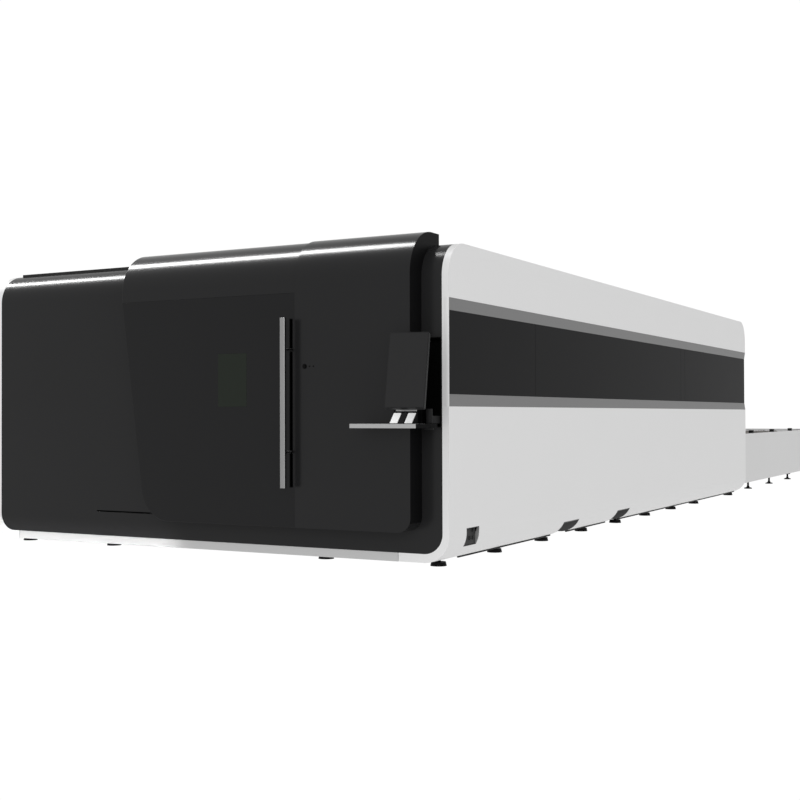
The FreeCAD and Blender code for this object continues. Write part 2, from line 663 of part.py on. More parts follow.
def band_panels():
    """Dark plates in the grooves, with a joint between neighbours."""
    stops = ["0", "band_seam_front", "band_seam_middle", "band_seam_rear", "body_length"]
    plates = []
    for side in (1, -1):
        for front, rear in zip(stops, stops[1:]):
            start = front if front == "0" else front + " + seam / 2"
            end = rear if rear == "body_length" else rear + " - seam / 2"
            across = (HALF + " - groove_depth", HALF + " - groove_depth + band_plate")
            plates.append(box(mirrored(across, side), (start, end), ("band_low", "band_high")))
    finish("band_panels", group(plates))


def band_trims():
    """Sloped strips that lead from the shell's face to the sunk band."""
    strips = []
    for side in (1, -1):
        sign = "" if side > 0 else "-"
        back = "%s(%s - groove_depth)" % (sign, HALF)
        lip = "%s(%s - groove_depth + band_plate)" % (sign, HALF)
        face = "%s(%s)" % (sign, HALF)
        for near, far in (("band_high", "band_high + trim_height"), ("band_low", "band_low - trim_height")):
            strips.append(prism("y", [(back, near), (lip, near), (face, far), (back, far)],
                                "0", "body_length"))
    finish("band_trims", group(strips))


band_panels()
band_trims()


# ---------------------------------------------------------------- front panel

def rounded_tray(depth, rear):
    """A panel with a roof part and short returns, and what has to be cut away from it."""
    front, back = ("0", depth) if not rear else ("body_length - " + depth, "body_length")
    nose = ("x", "y- z+", "nose_radius") if not rear else ("x", "y+ z+", "tail_radius")
    thin = ("x", nose[1], nose[2] + " - sheet")
    corner = "belly_radius - shell_wall"
    outer = block(("-" + INNER, INNER), (front, back), ("skirt_high", "body_height"),
                  [nose, ("y", "x- z-", corner), ("y", "x+ z-", corner)])
    inside = (front + " + sheet", back + " + 50") if not rear else (front + " - 50", back + " - sheet")
    inner = block(("-%s + sheet" % INNER, INNER + " - sheet"), inside,
                  ("skirt_high + sheet", "body_height - sheet"),
                  [thin, ("y", "x- z-", corner + " - sheet"), ("y", "x+ z-", corner + " - sheet")])
    behind = ("panel_return", "cap_depth + 10") if not rear else (
        "body_length - cap_depth - 10", "body_length - panel_return")
    short = box(("-(%s) - 10" % HALF, HALF + " + 10"), behind, ("0", "body_height - %s" % nose[2]))
    return outer, [inner, short]


def front_panel():
    """The black front with its roof part, doorway, console niche and guide slit."""
    outer, hollow = rounded_tray("cap_depth", rear=False)
    doorway = block(("opening_left", "opening_right"), ("-10", "sheet + 10"),
                    ("opening_low", "opening_high"),
                    [("y", sides, "opening_corner") for sides in ("x- z-", "x+ z-", "x- z+", "x+ z+")])
    niche = box(("niche_left", INNER + " - sheet"), ("-10", "sheet + 10"), ("niche_low", "niche_high"))
    slit = block(("slit_left", "slit_right"), ("-10", "sheet + 10"),
                 ("slit_z - slit_height / 2", "slit_z + slit_height / 2"),
                 [("y", "x- z-", "slit_height / 2 - 0.5"), ("y", "x- z+", "slit_height / 2 - 0.5")])
    finish("front_panel", cut(outer, hollow + [doorway, niche, slit]))


def console_niche():
    """Black sheet box sunk in the front panel, where the console's bracket sits."""
    right = INNER + " - sheet"
    shell = box(("niche_left", right), ("0", "niche_depth"), ("niche_low", "niche_high"))
    hollow = box(("niche_left + niche_wall", right + " - niche_wall"), ("-10", "niche_depth - niche_wall"),
                 ("niche_low + niche_wall", "niche_high - niche_wall"))
    finish("console_niche", cut(shell, [hollow]))


def front_skirt():
    """Pale strip below the front panel, between the turned-in shells."""
    finish("front_skirt", group([box(("-%s + left_flange + seam" % HALF, HALF + " - right_flange - seam"),
                                     ("0", "skirt_plate"), ("skirt_low", "skirt_high"))]))


def door_guide_channel():
    """Channel behind the slit, in which the door's lower roller runs."""
    half = "slit_half - slit_wall"
    outer = box(("slit_left - slit_end - slit_wall", "slit_right + slit_end + slit_wall"),
                ("sheet", "sheet + slit_room + slit_wall"), ("slit_z - slit_half", "slit_z + slit_half"))
    hollow = box(("slit_left - slit_end", "slit_right + slit_end"), ("0", "sheet + slit_room"),
                 ("slit_z - (%s)" % half, "slit_z + " + half))
    finish("door_guide_channel", cut(outer, [hollow]))


def door_rail():
    """Rail on the rounded front edge of the roof, which carries the sliding door."""
    bar = box(("rail_left", "rail_right"), ("rail_y - rail_width / 2", "rail_y + rail_width / 2"),
              ("body_height - nose_radius / 2", "body_height + rail_height"))
    finish("door_rail", cut(bar, [cabin_envelope(depth="cap_depth")]))


front_panel()
console_niche()
front_skirt()
door_guide_channel()
door_rail()


# ---------------------------------------------------------------- fixed cover and sliding door

def hood(left, right, step, wall, corner):
    """The rounded form of cover or door, drawn in by step and wall."""
    drop = "(%s + %s)" % (step, wall)
    rounds = [("x", "y- z+", "cover_nose - %s" % drop)]
    if corner:
        rounds.append(("y", "x+ z-", "cover_corner - %s" % wall))
    return block((left, right), ("-cover_reach + " + drop, "cover_back - %s" % wall),
                 ("cover_bottom + " + wall, "cover_top - " + drop), rounds)


def front_cover():
    """The fixed right part of the projecting front."""
    outer = hood("door_right", "cover_right", "0", "0", corner=True)
    inner = hood("door_right + cover_skin", "cover_right - cover_skin", "0", "cover_skin", corner=True)
    button = rod("button_radius + 1", "y", "-cover_reach - 10", x="button_x", z="button_z", length="40")
    lamps = [rod("lamp_radius", "y", "-cover_reach - 10", x="lamp_first_x + %d * lamp_pitch" % number,
                 z="button_z", length="40") for number in range(2)]
    finish("front_cover", cut(outer, [inner, cabin_envelope(depth="cap_depth"), button] + lamps))


def door_outline(inset, low, high, front, back):
    """Front view of the door: sloping left edge and rounded lower left corner."""
    foot = "door_slant_foot + %s" % inset
    corners = [("door_left + %s" % inset, "door_face_top"), (foot, low),
               ("door_right - door_joint - %s" % inset, low),
               ("door_right - door_joint - %s" % inset, high), ("door_left + %s" % inset, high)]
    if high == "door_face_top":
        corners.pop()
    body = prism("y", corners, front, back)
    low_edge = body.Shape.BoundBox.ZMin
    starts = [vertex.Point.x for vertex in body.Shape.Vertexes if abs(vertex.Point.z - low_edge) < 0.01]
    return round_edges(body, "y", {"x": min(starts), "z": low_edge}, "door_corner - %s" % inset)


def window_pane(grow, front, back):
    """The door window's rectangle, grown on every side."""
    return box(("window_left - (%s)" % grow, "window_left + window_width + (%s)" % grow), (front, back),
               ("window_low - (%s)" % grow, "window_low + window_height + (%s)" % grow))


DOOR_FRONT = "(door_step - cover_reach)"
DOOR_SKIN = "(door_step - cover_reach + door_face_plate)"


def handle_slot(grow, front, back):
    """The upright black channel behind the handle."""
    return box(("handle_x - channel_width / 2 - (%s)" % grow, "handle_x + channel_width / 2 + (%s)" % grow),
               (front, back), ("handle_low - (%s)" % grow, "handle_low + handle_length + (%s)" % grow))


def door_shell():
    """Hollow sliding door with its hood over the roof."""
    outer = hood("door_left", "door_right - door_joint", "door_step", "0", corner=False)
    form = door_outline("0", "cover_bottom", "cover_top + 100", "-400", "cover_back + 60")
    inner_box = hood("door_left + cover_skin", "door_right - door_joint - cover_skin",
                     "door_step", "cover_skin", corner=False)
    inner_form = door_outline("cover_skin", "cover_bottom + cover_skin", "cover_top + 100",
                              "-400", "cover_back + 60")
    hollow = common([inner_box, inner_form])
    face = door_outline("0", "cover_bottom", "door_face_top", "-400", DOOR_SKIN)
    notch = box(("-%d" % LONG, "%d" % LONG), ("rail_y - rail_width / 2 - 8", "rail_y + rail_width / 2 + 8"),
                ("0", "body_height + rail_height + 8"))
    window = window_pane("-window_seat", "-400", "0")
    slot = handle_slot("0", "-400", DOOR_FRONT + " + channel_depth")
    envelope = cabin_envelope("door_gap", "cap_depth")
    finish("door_shell", cut(common([outer, form]), [hollow, face, notch, window, slot, envelope]))


def door_face():
    """The darker plate that covers the flat front of the door."""
    plate = door_outline("0", "cover_bottom", "door_face_top", DOOR_FRONT, DOOR_SKIN)
    window = window_pane("0", "-400", "0")
    slot = handle_slot("0", "-400", "0")
    finish("door_face", cut(plate, [window, slot]))


def door_window():
    """Tinted pane, flush with the door face."""
    finish("door_window", group([window_pane("0", DOOR_FRONT, DOOR_SKIN)]))


def handle_channel():
    """Black channel sunk in the door behind the handle."""
    outer = handle_slot("0", DOOR_FRONT, DOOR_FRONT + " + channel_depth")
    hollow = handle_slot("-4", "-400", DOOR_FRONT + " + channel_depth - 4")
    finish("handle_channel", cut(outer, [hollow]))


def door_handle():
    """Flat handle bar on two round posts."""
    back = DOOR_FRONT + " - handle_reach"
    bar = block(("handle_x - handle_width / 2", "handle_x + handle_width / 2"),
                (back + " - handle_thick", back), ("handle_low", "handle_low + handle_length"),
                [("z", "x- y-", "7"), ("z", "x+ y-", "7")])
    posts = [rod("post_radius", "y", back + " - 1", x="handle_x", z=height,
                 end=DOOR_FRONT + " + channel_depth - 4") for height in ("post_low", "post_high")]
    finish("door_handle", fuse([bar] + posts))


def door_runners():
    """Blocks under the hood that ride on the rail."""
    top = "cover_top - door_step - cover_skin"
    blocks = []
    for middle in ("runner_left", "runner_right"):
        blocks.append(box(("%s - runner_length / 2" % middle, "%s + runner_length / 2" % middle),
                          ("rail_y - runner_width / 2", "rail_y + runner_width / 2"),
                          ("body_height + door_gap", top)))
    groove = box(("-%d" % LONG, "%d" % LONG),
                 ("rail_y - rail_width / 2 - slide_gap", "rail_y + rail_width / 2 + slide_gap"),
                 ("0", "body_height + rail_height + slide_gap"))
    finish("door_runners", cut(group(blocks), [groove]))


def door_guide_pin():
    """Pin and roller that hold the door's lower edge to the slit."""
    arm = box(("pin_x - 30", "pin_x + 30"), ("-cover_reach + door_step + cover_skin", "-door_gap"),
              ("slit_z - 15", "slit_z + 15"))
    pin = rod("pin_radius", "y", "-door_gap - 1", x="pin_x", z="slit_z", end="sheet + 6")
    roller = rod("pin_roller", "y", "sheet + 4", x="pin_x", z="slit_z", length="14")
    finish("door_guide_pin", fuse([arm, pin, roller]))


front_cover()
door_shell()
door_face()
door_window()
handle_channel()
door_handle()
door_runners()
door_guide_pin()


def front_buttons():
    """Start button and the two lamps beside it."""
    button = rod("button_radius", "y", "-cover_reach - button_reach", x="button_x", z="button_z",
                 end="-cover_reach + cover_skin")
    finish("start_button", group([button]))
    lamps = [rod("lamp_radius", "y", "-cover_reach - 2", x="lamp_first_x + %d * lamp_pitch" % number,
                 z="button_z", end="-cover_reach + cover_skin") for number in range(2)]
    collar = cut(rod("button_radius + 6", "y", "-cover_reach - 3", x="button_x", z="button_z",
                     end="-cover_reach"),
                 [rod("button_radius + 1", "y", "-cover_reach - 10", x="button_x", z="button_z", length="20")])
    finish("front_lamps", group(lamps + [collar]))


front_buttons()


# ---------------------------------------------------------------- undercarriage, bed and feet

def base_frame():
    """Long floor tubes, cross tubes and the posts that carry the rear ends of the tracks."""
    tubes = []
    for side in (1, -1):
        tubes.append(box(mirrored(("sill_outer - sill_width", "sill_outer"), side),
                         ("60", "body_length - 60"), ("sill_low", "sill_low + sill_height")))
        tubes.append(box(mirrored(("bed_inner", "bed_inner + 80"), side),
                         ("track_gap_front - 700", "track_gap_front - 600"), ("sill_low", "track_upper")))
    for middle in ["front_foot_y"] + foot_rows()[1:] + ["track_gap_front - 650"]:
        reach = "sill_outer - sill_width"
        tubes.append(box(("-(%s)" % reach, reach),
                         ("%s - cross_width / 2" % middle, "%s + cross_width / 2" % middle),
                         ("sill_low", "sill_low + sill_height")))
    finish("base_frame", fuse(tubes))


def cabin_frame():
    """Brackets on the floor tubes, with posts and rails that hold the shells and the roof."""
    top = "body_height - roof_depth"
    rows = ["frame_first_y + %d * frame_pitch" % number for number in range(4)] + ["frame_last_y"]
    pieces = []
    for side in (1, -1):
        post = mirrored((INNER + " - frame_tube", INNER), side)
        for row in rows:
            span = (row + " - frame_tube / 2", row + " + frame_tube / 2")
            pieces.append(box(mirrored(("sill_outer - sill_width", "sill_outer"), side), span,
                              ("sill_low + sill_height", "frame_foot - frame_shoe")))
            pieces.append(box(mirrored(("sill_outer - sill_width", INNER), side), span,
                              ("frame_foot - frame_shoe", "frame_foot")))
            pieces.append(box(post, span, ("frame_foot", top)))
        pieces.append(box(post, ("cap_depth + seam", "body_length - cap_depth - seam"),
                          (top + " - frame_tube", top)))
    finish("cabin_frame", fuse(pieces))


def bed_beams():
    """Hollow box beams on both sides, with openings towards the pallets."""
    low = "sill_low + sill_height"
    beams = []
    for side in (1, -1):
        outer = box(mirrored(("bed_inner", "bed_outer"), side), ("bed_front", "bed_rear"), (low, "bed_top"))
        tools = [box(mirrored(("bed_inner + bed_wall", "bed_outer - bed_wall"), side),
                     ("bed_front + bed_wall", "bed_rear - bed_wall"),
                     (low + " + bed_wall", "bed_top - bed_wall"))]
        for number in range(6):
            middle = "bed_front + bed_window_start + %d * bed_window_pitch" % number
            tools.append(box(mirrored(("bed_inner - 10", "bed_inner + bed_wall + 10"), side),
                             (middle + " - bed_window_width / 2", middle + " + bed_window_width / 2"),
                             ("bed_window_low", "bed_window_low + bed_window_height")))
        beams.append(cut(outer, tools))
    finish("bed_beams", group(beams))


def scrap_trays():
    """Open trays between the cross tubes, which catch slag and cut-outs."""
    top = "sill_low + sill_height"
    trays = []
    stops = ["foot_first_y + foot_pitch", "foot_first_y + 3 * foot_pitch",
             "foot_first_y + 5 * foot_pitch", "foot_first_y + 7 * foot_pitch"]
    for front, rear in zip(stops, stops[1:]):
        span = (front + " + 5", rear + " - 5")
        outer = box(("-(bed_inner - 20)", "bed_inner - 20"), span, (top, top + " + 110"))
        hollow = box(("-(bed_inner - 26)", "bed_inner - 26"), (span[0] + " + 6", span[1] + " - 6"),
                     (top + " + 6", top + " + 120"))
        trays.append(cut(outer, [hollow]))
    finish("scrap_trays", group(trays))


def machine_feet():
    """Levelling feet: a disc on the floor and a screw up to the floor tubes."""
    feet = []
    for side in (1, -1):
        across = "foot_x" if side > 0 else "-foot_x"
        for row in foot_rows():
            feet.append((across, row))
        feet.append(("front_foot_x" if side > 0 else "-front_foot_x", "front_foot_y"))
    solids = []
    for across, row in feet:
        disc = cone("foot_radius", "foot_radius - 6", "0", "foot_disc", x=across, y=row)
        stem = rod("stem_radius", "z", "foot_disc - 1", x=across, y=row, end="sill_low")
        solids.append(fuse([disc, stem]))
    finish("machine_feet", group(solids))


def fork_channels():
    """Channels across the machine for lifting it, trimmed to the shells' curve."""
    channels = []
    for number in range(2):
        outer = box(("-(%s)" % HALF, HALF), fork_span(number), ("shell_bottom", "sill_low"))
        hollow = box(("-%d" % LONG, "%d" % LONG), fork_span(number, "-fork_wall"),
                     ("0", "sill_low - fork_wall"))
        channels.append(common([cut(outer, [hollow]), belly()]))
    finish("fork_channels", group(channels))


def ports():
    """Recess in the right shell, lined with plates, with three pipe fittings on its back plate."""
    plate = HALF + " - port_depth"
    back = plate + " - port_wall"
    rear, top = "port_front + port_length", "port_low + port_height"
    upright = ("port_low + port_wall", top + " - port_wall")
    walls = [box((back, HALF), ("port_front", rear), ("port_low", "port_low + port_wall")),
             box((back, HALF), ("port_front", rear), (top + " - port_wall", top)),
             box((back, HALF), ("port_front", "port_front + port_wall"), upright),
             box((back, HALF), (rear + " - port_wall", rear), upright)]
    lining = [common([wall, belly()]) for wall in walls]
    finish("port_tray", group(lining + [port_box((back, plate), "port_wall")]))
    spots = [("port_far", "port_up"), ("port_near", "port_down"), ("port_far", "port_down")]
    fittings = []
    for along, up in spots:
        at = {"y": "port_front + " + along, "z": "port_low + " + up}
        body = rod("port_radius", "x", plate, length="port_reach", **at)
        bore = rod("port_bore", "x", plate + " + port_floor", length="port_reach", **at)
        fittings.append(cut(body, [bore]))
    finish("port_fittings", group(fittings))


base_frame()
cabin_frame()
bed_beams()
scrap_trays()
machine_feet()
fork_channels()
ports()


# ---------------------------------------------------------------- roof and rear

def roof_panels():
    """Roof plates between the shells, from the front panel to the rear panel."""
    count = 5
    plates = []
    step = "(body_length - 2 * cap_depth) / %d" % count
    for number in range(count):
        start = "cap_depth + %d * %s" % (number, step)
        end = "cap_depth + %d * %s - seam" % (number + 1, step)
        outer = box(("-%s" % INNER, INNER), (start, end), ("body_height - roof_depth", "body_height"))
        hollow = box(("-%s + roof_rim" % INNER, INNER + " - roof_rim"), (start + " + roof_rim", end + " - roof_rim"),
                     ("body_height - roof_depth - 10", "body_height - sheet"))
        plates.append(cut(outer, [hollow]))
    finish("roof_panels", group(plates))


def rear_panel():
    """Rear wall with its roof part and the opening for the pallets."""
    outer, hollow = rounded_tray("cap_depth", rear=True)
    way = box(("-gate_way_half", "gate_way_half"), ("body_length - 20", "body_length + 10"),
              ("gate_way_low", "gate_way_high"))
    finish("rear_panel", cut(outer, hollow + [way]))


GATE_REAR = "body_length - sheet - gate_setback"


def rear_gate():
    """Gate that slides up inside the rear panel."""
    finish("rear_gate", group([box(("-gate_half_width", "gate_half_width"),
                                   (GATE_REAR + " - gate_plate", GATE_REAR),
                                   ("gate_low", "gate_low + gate_height"))]))


def gate_guides():
    """Upright channels that hold the gate's ends."""
    guides = []
    for side in (1, -1):
        outer = box(mirrored(("gate_half_width - 15", "gate_half_width + 25"), side),
                    (GATE_REAR + " - gate_plate - 10", "body_length - sheet"),
                    ("gate_low - 50", "gate_low + gate_height + gate_travel + 20"))
        groove = box(mirrored(("0", "gate_half_width + 1"), side),
                     (GATE_REAR + " - gate_plate - slide_gap", GATE_REAR + " + slide_gap"),
                     ("0", "body_height"))
        guides.append(cut(outer, [groove]))
    finish("gate_guides", group(guides))


roof_panels()
rear_panel()
rear_gate()
gate_guides()


# ---------------------------------------------------------------- tracks, pallets and chain drive

LEVELS = ("track_upper", "track_lower")


def tracks():
    """Two levels of track on both sides, in the cabin and on the table."""
    cabin, table = [], []
    for side in (1, -1):
        for level in LEVELS:
            across = mirrored(("track_inner", "bed_inner"), side)
            rise = ("%s - track_plate" % level, level)
            cabin.append(box(across, ("track_front", "track_gap_front"), rise))
            table.append(box(across, ("track_gap_rear", "track_rear"), rise))
    finish("cabin_tracks", group(cabin))
    finish("table_tracks", group(table))


def slats(level, front):
    """The row of slats of a pallet, each with its teeth."""
    half = "(pallet_half - pallet_rail_width)"
    pitch = "(2 * %s / tooth_count)" % half
    root, tip = level + " + slat_high - tooth_depth", level + " + slat_high"
    corners = [("-" + half, level + " + slat_low"), (half, level + " + slat_low")]
    for number in range(int(size("tooth_count")), 0, -1):
        corners.append(("-%s + %d * %s" % (half, number, pitch), root))
        corners.append(("-%s + (%d - 0.5) * %s" % (half, number, pitch), tip))
    corners.append(("-" + half, root))
    start = front + " + (pallet_length - (slat_count - 1) * slat_pitch - slat_plate) / 2"
    body = prism("y", corners, start, start + " + slat_plate")
    body.AllowCompound = True
    row = body.newObject("PartDesign::LinearPattern", "Row")
    row.Originals = [body.Tip]
    axis = [item for item in body.Origin.OriginFeatures if item.Role == "Y_Axis"][0]
    row.Direction = (axis, [""])
    bind(row, "Length", "(slat_count - 1) * slat_pitch")
    bind(row, "Occurrences", "slat_count")
    body.Tip = row
    return body


def pallet_frame(level, front):
    """Rails, cross tubes, wheels and chain lugs of a pallet."""
    base = "%s + pallet_lift" % level
    rear = "%s + pallet_length" % front
    pieces = []
    for side in (1, -1):
        pieces.append(box(mirrored(("pallet_half - pallet_rail_width", "pallet_half"), side), (front, rear),
                          (base, base + " + pallet_rail_height")))
        for number in range(int(size("wheel_count"))):
            step = "(pallet_length - 2 * wheel_inset) / (wheel_count - 1)"
            along = "%s + wheel_inset + %d * %s" % (front, number, step)
            start = "pallet_half + 10"
            limits = mirrored((start, start + " + wheel_width"), side)
            hub = mirrored(("pallet_half - 5", start + " + 5"), side)
            pieces.append(rod("wheel_radius", "x", limits[0], y=along, z="%s + wheel_axle" % level,
                              end=limits[1]))
            pieces.append(rod("wheel_radius / 3", "x", hub[0], y=along, z="%s + wheel_axle" % level,
                              end=hub[1]))
        lug = mirrored(("pallet_half - 5", "chain_x - chain_width / 2 - 0.5"), side)
        pieces.append(box(lug, ("%s + pallet_length / 2 - 30" % front, "%s + pallet_length / 2 + 30" % front),
                          ("%s + 52" % level, "%s + 68" % level)))
    inner = "(pallet_half - pallet_rail_width)"
    for share in (0, 0.25, 0.5, 0.75, 1):
        at = "%s + %s * (pallet_length - 60)" % (front, share)
        pieces.append(box(("-" + inner, inner), (at, at + " + 60"), (base, "%s + slat_low" % level)))
    return pieces


def pallet(label, level, front):
    """A pallet: welded frame with its slats seated between the side rails."""
    finish(label, fuse(pallet_frame(level, front) + [slats(level, front)]))


tracks()
pallet("lower_pallet", "track_lower", "pallet_front")
pallet("upper_pallet", "track_upper", "pallet_front + pallet_travel")

CHAIN_Z = "((track_upper + track_lower) / 2 + 60)"
CHAIN_RADIUS = "((track_upper - track_lower) / 2)"


def chain_end(across, along, behind):
    """The half of a chain's turn round one wheel, on the side away from its straight runs."""
    ring = rod("%s + chain_thick / 2" % CHAIN_RADIUS, "x", across[0], y=along, z=CHAIN_Z, end=across[1])
    wheel = rod("%s - chain_thick / 2" % CHAIN_RADIUS, "x", "%s - 10" % across[0], y=along, z=CHAIN_Z,
                end="%s + 10" % across[1])
    half = box(("%s - 10" % across[0], "%s + 10" % across[1]), behind, ("0", "body_height"))
    return cut(ring, [wheel, half])


def drive_chains():
    """Two endless chains that draw one pallet in as the other goes out."""
    pieces = []
    for middle in ("chain_x", "-chain_x"):
        across = (middle + " - chain_width / 2", middle + " + chain_width / 2")
        for run in ("%s - %s", "%s + %s"):
            height = run % (CHAIN_Z, CHAIN_RADIUS)
            pieces.append(box(across, ("chain_front", "chain_rear"),
                              (height + " - chain_thick / 2", height + " + chain_thick / 2")))
        pieces.append(chain_end(across, "chain_front", ("chain_front", "chain_front + 400")))
        pieces.append(chain_end(across, "chain_rear", ("chain_rear - 400", "chain_rear")))
    finish("drive_chains", group(pieces))


def chain_shaft(label, along, reach):
    """A cross shaft with a chain wheel at each end."""
    pieces = [rod("shaft_radius", "x", "-(%s)" % reach, y=along, z=CHAIN_Z, end=reach)]
    for side in (1, -1):
        limits = mirrored(("chain_x - chain_width / 2", "chain_x + chain_width / 2"), side)
        pieces.append(rod("%s - chain_thick / 2 - 0.5" % CHAIN_RADIUS, "x", limits[0], y=along,
                          z=CHAIN_Z, end=limits[1]))
    finish(label, fuse(pieces))


def shaft_bearings():
    """Bearing blocks of the two cross shafts."""
    blocks = []
    for side in (1, -1):
        for along, limits, low in (("chain_front", ("chain_x + 18", "bed_inner"), "sill_low + sill_height + 250"),
                                   ("chain_rear", ("chain_x + 18", "table_beam_inner"), "table_beam_low")):
            across = mirrored(limits, side)
            body = box(across, (along + " - 45", along + " + 45"), (low, CHAIN_Z + " + 45"))
            bore = rod("shaft_radius + slide_gap", "x", "-%d" % LONG, y=along, z=CHAIN_Z,
                       length="%d" % (2 * LONG))
            blocks.append(cut(body, [bore]))
    finish("shaft_bearings", group(blocks))


drive_chains()
chain_shaft("idler_shaft", "chain_front", "chain_x + 52")
chain_shaft("drive_shaft", "chain_rear", "chain_x + 52")
shaft_bearings()


# ---------------------------------------------------------------- gantry, carriage and head

BEAM_LOW = "(saddle_low + saddle_plate)"
BEAM_FACE = "(gantry_y - beam_depth / 2)"
MOTOR_X = "(rack_x + pinion_radius)"
MOTOR_Y = "(gantry_y + beam_depth / 2 + servo_setback)"


def gantry_rails():
    """Rails on the bed beams, with a rack beside each."""
    rails, racks = [], []
    for side in (1, -1):
        rails.append(box(mirrored(("guide_x - guide_width / 2", "guide_x + guide_width / 2"), side),
                         ("guide_front", "guide_rear"), ("bed_top", "bed_top + guide_height")))
        racks.append(box(mirrored(("rack_x - rack_width", "rack_x"), side),
                         ("guide_front", "guide_rear"), ("bed_top", "bed_top + rack_height")))
    finish("gantry_rails", group(rails))
    finish("gantry_racks", group(racks))


def gantry_beam():
    """Hollow cross beam."""
    rise = (BEAM_LOW, BEAM_LOW + " + beam_height")
    deep = ("gantry_y - beam_depth / 2", "gantry_y + beam_depth / 2")
    edges = [("x", sides, "beam_round") for sides in ("y- z-", "y- z+", "y+ z-", "y+ z+")]
    outer = block(("-beam_half", "beam_half"), deep, rise, edges)
    hollow = box(("-beam_half - 10", "beam_half + 10"), (deep[0] + " + beam_wall", deep[1] + " - beam_wall"),
                 (rise[0] + " + beam_wall", rise[1] + " - beam_wall"))
    finish("gantry_beam", cut(outer, [hollow]))


def gantry_saddles():
    """Saddle and end plates that carry the beam, with their bearing blocks on the rails."""
    saddles, holes = [], []
    for side in (1, -1):
        plate = box(mirrored(("saddle_inner", "saddle_outer"), side),
                    ("gantry_y - saddle_length / 2", "gantry_y + saddle_length / 2"),
                    ("saddle_low", BEAM_LOW))
        end = box(mirrored(("beam_half", "beam_half + 20"), side),
                  ("gantry_y - beam_depth / 2", "gantry_y + beam_depth / 2"),
                  (BEAM_LOW + " - 1", BEAM_LOW + " + beam_height"))
        saddles += [plate, end]
        for shift in ("-block_spread", "block_spread"):
            middle = "gantry_y + %s" % shift
            saddles.append(box(mirrored(("guide_x - block_width / 2", "guide_x + block_width / 2"), side),
                               (middle + " - block_length / 2", middle + " + block_length / 2"),
                               ("bed_top + 6", "saddle_low + 1")))
        holes.append(box(mirrored(("guide_x - guide_width / 2 - slide_gap",
                                   "guide_x + guide_width / 2 + slide_gap"), side),
                         ("0", "body_length"), ("0", "bed_top + guide_height + slide_gap")))
        holes.append(rod("motor_shaft + 2", "z", "0", x=MOTOR_X if side > 0 else "-" + MOTOR_X,
                         y=MOTOR_Y, end=BEAM_LOW + " + 1"))
    finish("gantry_saddles", cut(fuse(saddles), holes))


def gantry_motors():
    """Servo motors that stand on the saddles behind the beam, with their pinions."""
    motors = []
    for side in (1, -1):
        across = MOTOR_X if side > 0 else "-" + MOTOR_X
        flange = box((across + " - servo_flange", across + " + servo_flange"),
                     (MOTOR_Y + " - servo_flange", MOTOR_Y + " + servo_flange"), (BEAM_LOW, BEAM_LOW + " + servo_foot"))
        can = block((across + " - servo_half", across + " + servo_half"),
                    (MOTOR_Y + " - servo_half", MOTOR_Y + " + servo_half"),
                    (BEAM_LOW + " + servo_foot - 1", BEAM_LOW + " + servo_height"),
                    [("z", sides, "servo_corner") for sides in ("x- y-", "x- y+", "x+ y-", "x+ y+")])
        shaft = rod("motor_shaft", "z", "bed_top + 4", x=across, y=MOTOR_Y, end=BEAM_LOW + " + 5")
        pinion = rod("pinion_radius - slide_gap", "z", "bed_top + 4", x=across, y=MOTOR_Y,
                     end="bed_top + rack_height")
        motors.append(fuse([flange, can, shaft, pinion]))
    finish("gantry_motors", group(motors))


def beam_rails():
    """Two rails on the front face of the beam."""
    rails = []
    for height in ("beam_guide_low", "beam_guide_high"):
        middle = "%s + %s" % (BEAM_LOW, height)
        rails.append(box(("-beam_guide_half", "beam_guide_half"), (BEAM_FACE + " - beam_guide_height", BEAM_FACE),
                         (middle + " - beam_guide_width / 2", middle + " + beam_guide_width / 2")))
    finish("beam_rails", group(rails))


CARRIAGE_BACK = BEAM_FACE + " - carriage_stand"
CARRIAGE_FACE = "(%s - carriage_plate)" % CARRIAGE_BACK


def carriage():
    """Carriage plate with its bearing blocks and the upright rails for the head."""
    plate = block(("-carriage_half", "carriage_half"), (CARRIAGE_FACE, CARRIAGE_BACK),
                  ("carriage_low", "carriage_high"),
                  [("y", "x- z+", "30"), ("y", "x+ z+", "30")])
    rails = [box(("%s - head_guide_width / 2" % middle, "%s + head_guide_width / 2" % middle),
                 (CARRIAGE_FACE + " - head_guide_depth", CARRIAGE_FACE + " + 1"),
                 ("carriage_low + 10", "carriage_high - 20")) for middle in ("-head_guide_x", "head_guide_x")]
    motor = box(("-45", "45"), (CARRIAGE_BACK, CARRIAGE_BACK + " + 90"),
                ("carriage_high - 140", "carriage_high - 20"))
    pieces = [plate, motor] + rails
    for across in ("-100", "100"):
        for height in ("beam_guide_low", "beam_guide_high"):
            middle = "%s + %s" % (BEAM_LOW, height)
            pieces.append(box(("%s - 40" % across, "%s + 40" % across), (CARRIAGE_BACK, BEAM_FACE + " - 5"),
                              (middle + " - 28", middle + " + 28")))
    grooves = []
    for height in ("beam_guide_low", "beam_guide_high"):
        middle = "%s + %s" % (BEAM_LOW, height)
        grooves.append(box(("-%d" % LONG, "%d" % LONG), (BEAM_FACE + " - beam_guide_height - slide_gap", BEAM_FACE),
                           (middle + " - beam_guide_width / 2 - slide_gap",
                            middle + " + beam_guide_width / 2 + slide_gap")))
    finish("carriage", cut(fuse(pieces), grooves))


HEAD_BACK = "(%s - slide_gap)" % CARRIAGE_FACE
HEAD_FACE = "(%s - slide_gap - head_slide_plate)" % CARRIAGE_FACE


